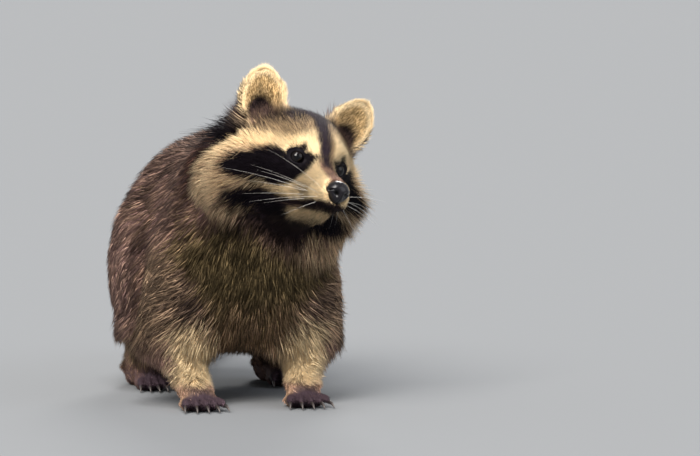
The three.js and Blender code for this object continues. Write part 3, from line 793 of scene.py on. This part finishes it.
THROAT = middle_of("neck")
TOES_LONG = 21 * MM
TOES_FROM = [-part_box(paw)[0].y - TOES_LONG for paw in ("forepaw_left", "hindpaw_left")]
WRISTS = [middle_of(paw)[0] for paw in both("forepaw")]
TAIL_RINGS = 5.5
TAIL_DARK_FROM = (0.79, 0.82)  # as shares of its length
tail_joints = [middle_of(n) for n in ("tail_root", "tail_middle", "tail_tip")]
TAIL_LINE = [2 * tail_joints[0] - tail_joints[1], *tail_joints, 2 * tail_joints[2] - tail_joints[1]]


def tail_colours(p, ragged):
    """Broad dark rings and a dark tip on a pale ground."""
    place = along(p, TAIL_LINE)[1]
    wave = np.sin(2 * math.pi * (place * TAIL_RINGS - 0.1)) + 0.3 * ragged
    tip = steps(place + 0.02 * ragged, *TAIL_DARK_FROM)
    dark = np.maximum(steps(wave, -0.2, 0.25), tip)
    return painted(len(p), (TAN, STRAW), [(dark, SOOT * 1.3, DARK_BROWN)])


def out_to_rim(across, high):
    """How far out from an ear's middle a place is: 1 at the rim."""
    return np.sqrt(across**2 + np.where(high > 0, high, 0.6 * high) ** 2)


def ear_colours(f, fold, n, ragged):
    """Cream along the rim, sandy within to painted shade in the hollow, and sooty behind at the root."""
    across, _, high = in_ear(f, fold)
    inside = steps(-faces_back(n, fold), -0.05, 0.35)
    from_rim = 1 - out_to_rim(across, high)
    within = inside * steps(from_rim + 0.05 * ragged, 0.16, 0.34)
    # Painted shade deep in the ear's hollow.
    hollow = inside * hump(across, 0.15, 0.5) * hump(high, -0.5, 0.55)
    behind = (1 - inside) * steps(high + 0.1 * ragged, 0.75, 0.3)
    marks = [
        (within, SAND * 0.7, STRAW * 1.1),
        (np.clip(3.4 * hollow - 0.5 + 0.15 * ragged, 0, 1), SOOT, DARK_BROWN * 0.7),
        (behind, SOOT, PLUM),
    ]
    return painted(len(f), (CREAM, CREAM * 1.25), marks)


def colours_at(p, n, s, ragged):
    """The coat's colour and its tips' at world points of its outer surface, for shares s of the parts."""
    f, fold = folded_over(in_head(p))
    hair, tip = body_colours(p, n, s, ragged)
    # The ruff's pale hair runs a little way onto the neck.
    ruff = s["neck"] * steps(how_long(f - [52, 44, -30]) + 4 * ragged, 46, 30)
    for amount, (over, over_tip) in [
        (s["tail_root"] + s["tail_middle"] + s["tail_tip"], tail_colours(p, ragged)),
        (s["head"] + s["jaw"] + ruff, head_colours(f, fold, ragged)),
        (s["ear_left"] + s["ear_right"], ear_colours(f, fold, (n @ HEAD.T) * fold, ragged)),
    ]:
        amount = np.clip(amount, 0, 1)
        hair, tip = laid(hair, over, amount), laid(tip, over_tip, amount)
    return hair, tip


def painted_finish(name, attribute, roughness, grain, mottle, gloss):
    """A finish that takes its colour from the markings, with a fine grain of light and dark over it."""
    finish, tree, shader = new_finish(name, roughness, gloss)
    marks = attribute_node(tree, attribute)
    noise = noise_of(tree, grain)
    amount = tree.nodes.new("ShaderNodeMapRange")
    amount.inputs["To Min"].default_value = 1 - mottle
    amount.inputs["To Max"].default_value = 1 + mottle
    linked(tree, noise, "Fac", amount, "Value")
    shade = tree.nodes.new("ShaderNodeVectorMath")
    shade.operation = "SCALE"
    linked(tree, marks, "Color", shade, 0)
    linked(tree, amount, "Result", shade, "Scale")
    linked(tree, shade, "Vector", shader, "Base Color")
    return finish, tree, shader, noise


def paint_points(mesh, name, colours):
    """Stores a colour at each of the mesh's points, for its finish to read."""
    paint = mesh.color_attributes.new(name, "FLOAT_COLOR", "POINT")
    paint.data.foreach_set("color", np.insert(colours.reshape(-1, 3), 3, 1, 1).ravel())


facing = unit(hide.averaged(hide.normals(), 2))
folded, fold = folded_over(in_head(outer))
hair_colour = colours_at(outer, facing, shares, np.zeros(len(outer)))[0]
# Under the fur the hide is darkened as painted shade; it is bare and its own colour on the toes and round the
# eyes.
SHADED = 0.45
LID_SKIN = (13.5, 12)  # millimetres from the eye's middle, where it begins and where it is all bare
bare_toes = sum(shares[n] for n in both("forepaw", "hindpaw"))
hide_colour = hair_colour * (SHADED + (1 - SHADED) * bare_toes)[:, None]
from_ball = how_long(folded_over(in_head(hide.points))[0] - EYE)
lid_skin = steps(from_ball, *LID_SKIN) * on_head
paint_points(hide_mesh, "marks", laid(hide_colour, SOOT, lid_skin))
hide_leather, tree, shader, noise = painted_finish("hide_leather", "marks", 0.6, 900, 0.35, 0.1)
bumped(tree, noise, "Fac", shader, 0.6, 0.6 * MM)
set_in_place(hide_mesh, "hide", hide_leather, "body_coat", *FLESH)


# ==== The face's coat ====
# Short fine fur that lies back from the nose over the muzzle, brows and cheeks. Each tuft is a closed
# taper rooted in the hide, drawn with its neighbours into locks, and every later coat is grown alike.
NOSE_TIP = np.array([0, -47, -19])
SIDE_OF = {"_left": 1.0, "_right": -1.0}


def flat_on(v, n):
    return unit(v - n * (v * n).sum(1, keepdims=True))


def lie_of_the_coat():
    """The way that the hairs point at each point of the hide, as a comb would leave them."""
    p, n = hide.points, facing
    side = np.sign(p[:, :1])
    backwards = unit(folded - NOSE_TIP)
    on_cheek = steps(folded[:, :1], 26, 55) * steps(folded[:, 2:], 12, -14)
    sweep = np.array([0.35, 0.25, -0.55]) * on_cheek
    way = on_head[:, None] * ((unit(backwards + sweep) * fold) @ HEAD)
    round_head = unit(p - from_head([0, 20, 0]))
    way += shares["neck"][:, None] * unit(round_head * 0.7 + [0, 0.25, -0.8])
    # Along the back, down the flanks and straight down the chest.
    front = steps(-n[:, 1:2], 0.15, 0.75)
    under = steps(-n[:, 2:3], 0.3, 0.8)
    flank = steps(np.abs(n[:, :1]), 0.2, 0.8)
    over = np.array([0, 1.0, -0.12]) + flank * [0, -0.15, -0.65] + side * flank * [0.1, 0, 0]
    chest = np.array([0, 0.1, -1.0]) + side * [0.15, 0, 0]
    way += shares["trunk"][:, None] * unit(over * (1 - front) + chest * front + under * [0, 0.6, 0])
    across, _, high = in_ear(folded, fold)
    fan = unit(np.stack([0.8 * across, 0 * across, high + 1.3], 1))
    fan = (np.einsum("nij,ni->nj", ears_of(fold), fan) * fold) @ HEAD
    for end, s in SIDE_OF.items():
        outward = steps(n[:, :1] * s, -0.3, 0.5)
        for part, line in (
            ("upper_arm", unit(outward * [1.5 * s, 0.15, 0.1] + [0, 0.1, -1.0])),
            ("forearm", unit(0.35 * outward * [s, 0, 0] + [0.3 * s, 0.05, -1.0])),
            ("forepaw", [0, -1.0, -0.25]),
            ("thigh", unit(np.array([0.1 * s, 0.5, -0.9]))),
            ("shank", unit(np.array([0, 0.4, -1.0]))),
            ("hindpaw", [0, -1.0, -0.2]),
            ("ear", fan),
        ):
            way += shares[part + end][:, None] * line
    for part, a, b in (("tail_root", 0, 1), ("tail_middle", 0, 2), ("tail_tip", 1, 2)):
        way += shares[part][:, None] * unit(tail_joints[b] - tail_joints[a])
    wander = hide.averaged(np.random.default_rng(11).normal(size=way.shape), 14)
    way = hide.averaged(flat_on(way, n), 5)
    return flat_on(way + 0.15 * wander / wander.std(), n)


lie = lie_of_the_coat()


def tree_of(points):
    """The points, ready for the nearest to be found."""
    tree = KDTree(len(points))
    for k, p in enumerate(points):
        tree.insert(p, k)
    tree.balance()
    return tree


# How the lie turns with the body a little way on.
ON_A_LITTLE = 9 * MM
places = tree_of(outer)
onward = np.array([places.find(p)[1] for p in outer + lie * ON_A_LITTLE])
turning = hide.averaged((lie[onward] - lie) / ON_A_LITTLE, 6)

# On the head the hair is short at the nose and round the eyes, and longest on the ruffs and the nape.
wide, back, up = folded.T
ruff = steps(wide - 0.2 * up + 0.3 * back, 40, 72) * steps(up, 20, -4)
nape = steps(back, 40, 60) * steps(up, -10, 14)
head_long = 3.8 + 2.0 * steps(back, -34, -8) + 3.4 * steps(back, -6, 22) + 5 * steps(back, 22, 56)
under_chin = steps((folded - MOUTH_AT) @ MOUTH_FACING, 3, 7)
head_long = (head_long + 22 * ruff + 10 * nape + 3 * under_chin) * (1 - 0.45 * steps(from_eye, 18, 10))
head_wide = 0.28 + 0.12 * steps(back, -20, 20) + 0.28 * np.maximum(ruff, nape)
elbow_ward = steps(outer[:, 2], 24 * MM, 66 * MM) * (shares["forearm_left"] + shares["forearm_right"])
long = hide.averaged(part_long + on_head * head_long + 16 * elbow_ward, 3) * MM
broad = hide.averaged(part_wide + on_head * head_wide, 3) * MM

# Hairs bend no tighter than this with the body, in radians to the metre, but short ones in hollows do.
TIGHTEST = 22
TIGHTER_WHEN_SHORT = 50
hollowed = (turning * facing).sum(1) > 0
tightest = TIGHTEST + TIGHTER_WHEN_SHORT * steps(long, 16 * MM, 7 * MM) * hollowed
turning /= np.maximum(1, how_long(turning) / tightest)[:, None]

# The ruffs and the belly's fringe stand off the coat.
RUFF_STANDS = 0.24
BELLY_STANDS = 0.2
belly = steps(-facing[:, 2], 0.1, 0.7) * shares["trunk"]
stand_off = hide.averaged(RUFF_STANDS * ruff * on_head + BELLY_STANDS * belly, 3)

edge_a, edge_b, edge_c = (outer[hide.corners[:, k]] for k in range(3))
triangle_area = how_long(np.cross(edge_b - edge_a, edge_c - edge_a))
triangle_part = belongs[hide.corners[:, 0]]
share_table = np.stack([shares[n] for n in FLESH], 1)
hair_finish = painted_finish("hair", "hair", 0.55, 1400, 0.12, 0.06)[0]

# A tuft's stops along its length. A spike is a straight taper that is widest at its root, and a blade
# is a spindle that bends where it is widest.
SPIKE = [0, 1.0]
BLADE = [0, 0.5, 1.0]
TUFT_DEEP = 0.8  # as a share of half its width
PATCH = 0.003
PALEST = 0.9
ROOTED = 0.4 * MM
TUFT_SIZES = (0.65, 1.15)  # the shortest and the longest, as shares of the hair's length
LEAST_RUN = 0.45  # the least way along the body, as a share of a tuft's length
TWIST = 0.5
TUFT_TONE = 0.6
LOCK_TONE = 0.85
PALE_TIPS = (0.75, 1.0)
OTHER_TIPS = (0.0, 0.35)
HABIT = {
    "lift": 1.0,  # how much of the coat's depth the tips climb
    "low": 0.45,  # the least share of that for any tuft
    "stand": 0.0,  # how far the tips stand off the coat, as a share of their length, beyond stand_off
    "clump": 0.5,  # how far the tips are drawn to the middle of their lock
    "lock": 34,  # tufts to a lock
    "contrast": 0.42,  # how much tufts and locks differ in lightness
    "bow": 0.09,  # how far the tips bend aside
    "stray": 0.2,  # how far whole tufts turn aside
    "scale": 1.0,
    "slim": 1.0,
    "root_shade": 0.4,
    "paling": 0.6,  # how far the pale of the tip has come where the tuft is widest
    "pale": 0.4,  # the share of tufts with a pale tip
}


def in_order(values):
    """Values as even steps from 0 to 1, in the same order."""
    order = np.empty(len(values))
    order[np.argsort(values, kind="stable")] = np.arange(len(values))
    return order / max(1, len(values) - 1)


def unwrapped(points, parts):
    """Each root's place on an unwrap of the hide: round and along each part, with the parts side by side."""
    uv = np.zeros((len(points), 2))
    present = np.unique(parts)
    for k, part in enumerate(present):
        here = parts == part
        own = points[here] - points[here].mean(0)
        lengthwise, second, third = (own @ np.linalg.svd(own.T @ own)[0]).T
        turn_of = (k + 0.02 + 0.95 * in_order(np.arctan2(third, second))) / len(present)
        uv[here] = np.stack([turn_of, in_order(lengthwise)], 1)
    return uv


def tapers(spine, half, across, out):
    """Three-sided closed tapers round their spines: each one's points, and the corners of its faces."""
    widest = spine[-2]
    ring = [widest - across * half, widest + across * half, widest + out * half * TUFT_DEEP]
    root = spine[:-2]
    first = len(root)
    tip = first + 3
    corners = [(0, first + (i + 1) % 3, first + i) for i in range(3)] if root else [(0, 2, 1)]
    corners += [(first + i, first + (i + 1) % 3, tip) for i in range(3)]
    return np.stack(root + ring + [spine[-1]], 1), np.array(corners)


def grow(name, weight, count, seed, stops, slot="body_coat", **habit):
    """A piece of the coat: that many tufts, rooted where the weight lies."""
    habit = {**HABIT, **habit}
    rng = np.random.default_rng(seed)
    chance = weight * triangle_area
    triangle = np.sort(rng.choice(len(chance), count, p=chance / chance.sum()))
    a, b = rng.random(count), rng.random(count)
    flip = a + b > 1
    a[flip], b[flip] = 1 - a[flip], 1 - b[flip]
    blend = np.stack([1 - a - b, a, b], 1)

    def at(values):
        return np.einsum("tk,tk...->t...", blend, values[hide.corners[triangle]])

    def scatter(amount):
        return (rng.normal(size=count) * amount)[:, None]

    root, top, n = at(hide.points), at(outer), unit(at(facing))
    way, turn = unit(at(lie)), at(turning)
    size = at(long) * habit["scale"] * rng.uniform(*TUFT_SIZES, count)
    height = habit["lift"] * rng.uniform(habit["low"], 1.0, count)
    way = unit(way + np.cross(n, way) * scatter(habit["stray"]))
    across = np.cross(n, way)
    standing = (habit["stand"] + at(stand_off))[:, None]
    bend = scatter(habit["bow"])
    climb = top - root
    rise = how_long(climb) * height
    run = np.sqrt(np.maximum(size**2 - rise**2, (LEAST_RUN * size) ** 2))[:, None]
    root = root - n * ROOTED
    size = size[:, None]
    spine = []
    for u in stops:
        ahead = way * run * u + 0.5 * turn * (run * u) ** 2 + across * bend * size * u * u
        risen = climb * (height * (1 - (1 - u) ** 2))[:, None] + n * size * standing * u
        spine.append(root + ahead + risen)
    # Neighbouring tufts draw together into locks.
    locks = max(1, count // habit["lock"])
    centres = tree_of(top[rng.choice(count, locks, replace=False)])
    member = np.array([centres.find(p)[1] for p in top])
    number = np.maximum(np.bincount(member, minlength=locks), 1)[:, None]
    drawn = (habit["clump"] * rng.uniform(0.4, 1.0, count))[:, None]
    for k, u in enumerate(stops[1:], 1):
        mean = gathered(spine[k], member, locks) / number
        spine[k] = spine[k] + (mean[member] - spine[k]) * drawn * u**1.5
    tangent = unit(spine[-1] - spine[0])
    across = unit(np.cross(n, tangent))
    out = np.cross(tangent, across)
    roll = scatter(TWIST)
    across, out = across * np.cos(roll) + out * np.sin(roll), out * np.cos(roll) - across * np.sin(roll)
    half = (0.5 * at(broad) * habit["slim"])[:, None]
    points, corners = tapers(spine, half, across, out)
    points[:, :, 2] = np.maximum(points[:, :, 2], 0)
    # Painted shade darkens the root, then the marking's own colour, and paler at many of the tips.
    s = dict(zip(FLESH, at(share_table).T))
    hair, tip = colours_at(top + way * run * 0.5, n, s, rng.normal(size=count))
    lock_tone = rng.normal(size=(locks, 1))[member]
    tone = np.exp(habit["contrast"] * (TUFT_TONE * scatter(1) + LOCK_TONE * lock_tone))
    many = rng.random(count) < habit["pale"]
    pale = np.where(many, rng.uniform(*PALE_TIPS, count), rng.uniform(*OTHER_TIPS, count))
    widest = laid(hair, tip, pale * habit["paling"]) * tone
    at_root, at_tip = hair * habit["root_shade"] * tone, laid(hair, tip, pale) * tone
    colours = np.stack([at_root] * (len(stops) - 2) + [widest] * 3 + [at_tip], 1)
    colours = colours / np.maximum(1, colours.max(2, keepdims=True) / PALEST)
    # The mesh, with its colours and the map that places each tuft on the hide's unwrap.
    per = points.shape[1]
    faces = (corners[None] + per * np.arange(count)[:, None, None]).reshape(-1, 3)
    mesh = bpy.data.meshes.new(name)
    mesh.vertices.add(count * per)
    mesh.vertices.foreach_set("co", points.ravel())
    mesh.loops.add(len(faces) * 3)
    mesh.loops.foreach_set("vertex_index", faces.ravel())
    mesh.polygons.add(len(faces))
    mesh.polygons.foreach_set("loop_start", np.arange(0, len(faces) * 3, 3))
    mesh.polygons.foreach_set("use_smooth", np.ones(len(faces), bool))
    mesh.update(calc_edges=True)
    paint_points(mesh, "hair", colours)
    patch = [[0.5, 0.0]] * (per - 4) + [[i / 2, stops[-2]] for i in range(3)] + [[0.5, 1.0]]
    patch = np.array(patch) * PATCH
    uv = unwrapped(root, triangle_part[triangle])[:, None] * (1 - 2 * PATCH) + patch + PATCH / 2
    layer = mesh.uv_layers.new(name="OFBake")
    layer.uv.foreach_set("vector", uv.reshape(-1, 2)[faces.ravel()].ravel())
    set_in_place(mesh, name, hair_finish, slot)


def of_parts(*names):
    return np.isin(triangle_part, [PART_NUMBER[n] for n in names]).astype(float)


def on_triangles(values):
    return values[hide.corners].mean(1)


in_face = on_triangles(steps(back, 26, 14)) * of_parts("head", "jaw")
closer = 1 + 2 * on_triangles(steps(back, 10, -20))
open_eye = on_triangles((from_ball < EYE_RADIUS + LID_THICK + 0.9).astype(float)) == 0
for number, seed in (("1", 100), ("2", 101)):
    grow(f"face_coat_{number}", in_face * closer * open_eye, 40000, seed, SPIKE, "face_coat",
         clump=0.3, lock=12, contrast=0.3, scale=1.15, slim=1.05, stand=0.16, pale=0.5, root_shade=0.45)


# ==== The head's long fur ====
# Behind the face the fur is longer: the crown and the nape, and the cheek ruffs, whose pale locks
# stand out to the sides.
behind_face = of_parts("head", "jaw") - in_face
grow("head_coat_1", behind_face, 16000, 110, BLADE, "face_coat",
     clump=0.55, lock=28, contrast=0.6, pale=0.5, root_shade=0.35)
grow("head_coat_2", behind_face, 12000, 111, SPIKE, "face_coat", lift=0.8, clump=0.3, scale=0.8)
crest = on_triangles(steps(up + 0.25 * wide, 26, 36) * steps(back, 4, 16))
grow("crown_coat", of_parts("head") * crest, 7000, 112, SPIKE, "face_coat", clump=0.3, scale=1.1, stand=0.2)


# ==== The ears' fur ====
# Short dense fur over the ears, a cream fringe that stands off the rim, and loose black hair round
# the back of each ear's root.
across, _, high = in_ear(folded, fold)
to_rim = out_to_rim(across, high)
ear_face = faces_back(facing @ HEAD.T * fold, fold)
outer_root = steps(across, 0.3, 0.7) * steps(high, 0.4, 0.0)
at_rim = on_triangles(steps(to_rim, 0.72, 0.88) * steps(np.abs(ear_face), 0.95, 0.6) * (1 - outer_root))
ear_parts = of_parts(*both("ear"))
grow("ear_coat", ear_parts, 14000, 120, SPIKE, "ear_coat", clump=0.2, contrast=0.3, pale=0.5)
# Painted light from behind on the cream rim: nearly every fringe tuft has a pale tip, and its root is hardly
# darker.
grow("ear_fringe", ear_parts * at_rim, 7000, 121, SPIKE, "ear_coat",
     clump=0.2, stand=0.4, slim=0.7, scale=1.1, pale=0.9, root_shade=0.9)
by_the_root = steps(how_long(folded - [50, 54, 28]), 25, 15) * steps(ear_face, -0.4, 0.1)
by_the_root *= on_head + on_ears + shares["neck"]
grow("ear_ruff", on_triangles(by_the_root), 9000, 122, BLADE, "ear_coat",
     clump=0.3, stand=0.7, scale=1.3, pale=0.0)


# ==== The body's fur ====
# Long coarse guard hairs over a shorter, darker undercoat, on the neck and trunk.
grow("neck_coat", of_parts("neck"), 16000, 130, BLADE)
grow("neck_undercoat", of_parts("neck"), 5000, 131, SPIKE, lift=0.7, scale=0.7)
grow("trunk_coat_1", of_parts("trunk"), 30000, 140, BLADE)
grow("trunk_coat_2", of_parts("trunk"), 20000, 141, SPIKE, lift=0.75, scale=0.8, pale=0.2)


# ==== The legs' fur ====
# Shaggy over the shoulders and haunches, then shorter down to the wrists and heels.
grow("arm_coat", of_parts(*both("upper_arm")), 23000, 150, BLADE, stray=0.3, contrast=0.5)
grow("forearm_coat", of_parts(*both("forearm")), 15000, 151, SPIKE, contrast=0.28, root_shade=0.7)
arm_side = steps(facing[:, 0] * np.sign(outer[:, 0]), -0.2, 0.3) * hump(outer[:, 2], 66 * MM, 24 * MM)
arms = sum(shares[n] for n in both("upper_arm", "forearm"))
grow("elbow_fringe", on_triangles(arm_side * arms), 5000, 152, BLADE, stand=0.12, low=0.8, scale=1.05)
grow("thigh_coat", of_parts(*both("thigh")), 15000, 160, BLADE)
grow("shank_coat", of_parts(*both("shank")), 7000, 161, SPIKE)


# ==== The tail's fur ====
# A thick brush, ringed from root to tip, whose hairs all point down the tail.
grow("tail_coat", of_parts("tail_root", "tail_middle", "tail_tip"), 16000, 170, BLADE)


# ==== The paws' fur ====
# Very short hair on the backs of the paws, thinning to bare leather on the toes.
on_toes = (bare_toes > 0.5) & (-outer[:, 1] > np.where(outer[:, 1] < -100 * MM, *TOES_FROM) - 2 * MM)
grow("paw_coat", of_parts(*both("forepaw", "hindpaw")) * (1 - 0.6 * on_triangles(on_toes.astype(float))),
     13000, 180, SPIKE, "paw", clump=0.2)


# ==== The whiskers ====
# Stiff white hairs in four rows on each side of the muzzle. Each is a long taper that curves back and
# down from its root in the lip.
WHISKER_ROWS = [(0.18, 2, 78), (0.06, 3, 86), (-0.18, 2, 72), (-0.55, 2, 46)]  # rise, number, length
WHISKER_RADIUS = 0.11
whisker_white, tree, shader = new_finish("whisker", 0.3)
greys = [(0.3, (0.55, 0.52, 0.47)), (0.7, (0.86, 0.84, 0.80))]
coloured_by(tree, noise_of(tree, 400), "Fac", shader, greys)
whiskers = bmesh.new()
on_skin = tree_of(hide.points)
chance = np.random.default_rng(21)
WHISKER_STOPS = np.linspace(0, 1, 12)
for side in (1, -1):
    for row, (rise, number, length) in enumerate(WHISKER_ROWS):
        for k in range(number):
            aft = k / (number - 1)
            spot = np.array([12 + 6 * aft, -37 + 17 * aft, -20 - 3.3 * row - 2 * aft])
            heading = unit(np.array([0.80, 0.15 + 0.75 * aft, rise + 0.12 * chance.normal()]))
            size = length * (0.75 + 0.25 * math.sin(math.pi * aft)) * chance.uniform(0.85, 1.05)
            sag = np.array([0, 0.22, -0.14]) * chance.uniform(0.6, 1.2)
            root = in_head(np.array(on_skin.find(from_head(spot * [side, 1, 1]))[0])) * [side, 1, 1]
            line = [root + heading * size * (t - 0.02) + sag * size * t * t for t in WHISKER_STOPS]
            radii = [WHISKER_RADIUS * MM * (1 - 0.9 * t) for t in WHISKER_STOPS]
            drawn_out(whiskers, [Vector(from_head(p * [side, 1, 1])) for p in line], radii, 5)
set_in_place(meshed(whiskers), "whiskers", whisker_white, "face_coat")


# ==== The lamps ====
# Broad soft light from the upper left of the camera, a weaker one from the right, one overhead that
# gleams in the eyes, one from behind that catches the coat's edge, and the even light of the room.
LAMPS = [  # name, shines from, strength, softness in degrees, tint
    ("key", (-0.70, -1.0, 1.0), 4.9, 32, (1.0, 0.95, 0.88)),
    ("fill", (1.0, -0.8, 0.45), 0.9, 50, (0.92, 0.95, 1.0)),
    ("overhead", (-0.15, -0.45, 1.0), 1.6, 20, (1.0, 0.98, 0.95)),
    ("edge", (0.45, 1.0, 0.75), 2.2, 20, (1.0, 0.97, 0.92)),
]
ROOM = np.array([0.50, 0.51, 0.52])
on_floor = ROOM.copy()
for name, shines_from, strength, softness, tint in LAMPS:
    sun = bpy.data.lights.new(name, "SUN")
    sun.energy = strength
    sun.angle = math.radians(softness)
    sun.color = tint
    placed(name, sun).rotation_euler = Vector(shines_from).to_track_quat("Z", "Y").to_euler()
    on_floor += strength * np.array(tint) * Vector(shines_from).normalized().z / math.pi
room = bpy.data.worlds.new("room")
room.use_nodes = True
room.node_tree.nodes["Background"].inputs["Color"].default_value = (*ROOM, 1)
room.node_tree.nodes["Background"].inputs["Strength"].default_value = 1.0
bpy.context.scene.world = room


# ==== The floor ====
# A wide pale floor, plain and matt, painted so that under these lamps it has the room's own tone.
FLOOR_HALF = 200
boards = bmesh.new()
bmesh.ops.create_grid(boards, x_segments=1, y_segments=1, size=FLOOR_HALF)
floor = placed("floor", meshed(boards))
pale_floor, _, shader = new_finish("pale_floor", 0.9, gloss=0.0)
shader.inputs["Base Color"].default_value = (*(ROOM / on_floor), 1)
floor.data.materials.append(pale_floor)


# ==== The camera ====
# Level with the animal's shoulder and to its right, as it looks past to its left.
CAMERA_BACK = Vector((-0.2917, -0.954, 0.0698)).normalized()
CAMERA_FROM = 2.9
FRAME_WIDE = 0.581
AIM_FROM_EYES = Vector((0.0260, -0.0118, -0.0533))
camera_data = bpy.data.cameras.new("camera")
camera = placed("camera", camera_data)
bpy.context.scene.camera = camera
camera.location = Vector(between_eyes) + AIM_FROM_EYES + CAMERA_BACK * CAMERA_FROM
camera.rotation_euler = CAMERA_BACK.to_track_quat("Z", "Y").to_euler()
camera_data.sensor_width = 36
camera_data.lens = camera_data.sensor_width * CAMERA_FROM / FRAME_WIDE
camera_data.clip_start, camera_data.clip_end = 0.05, 400
bpy.context.scene.view_settings.view_transform = "Standard"
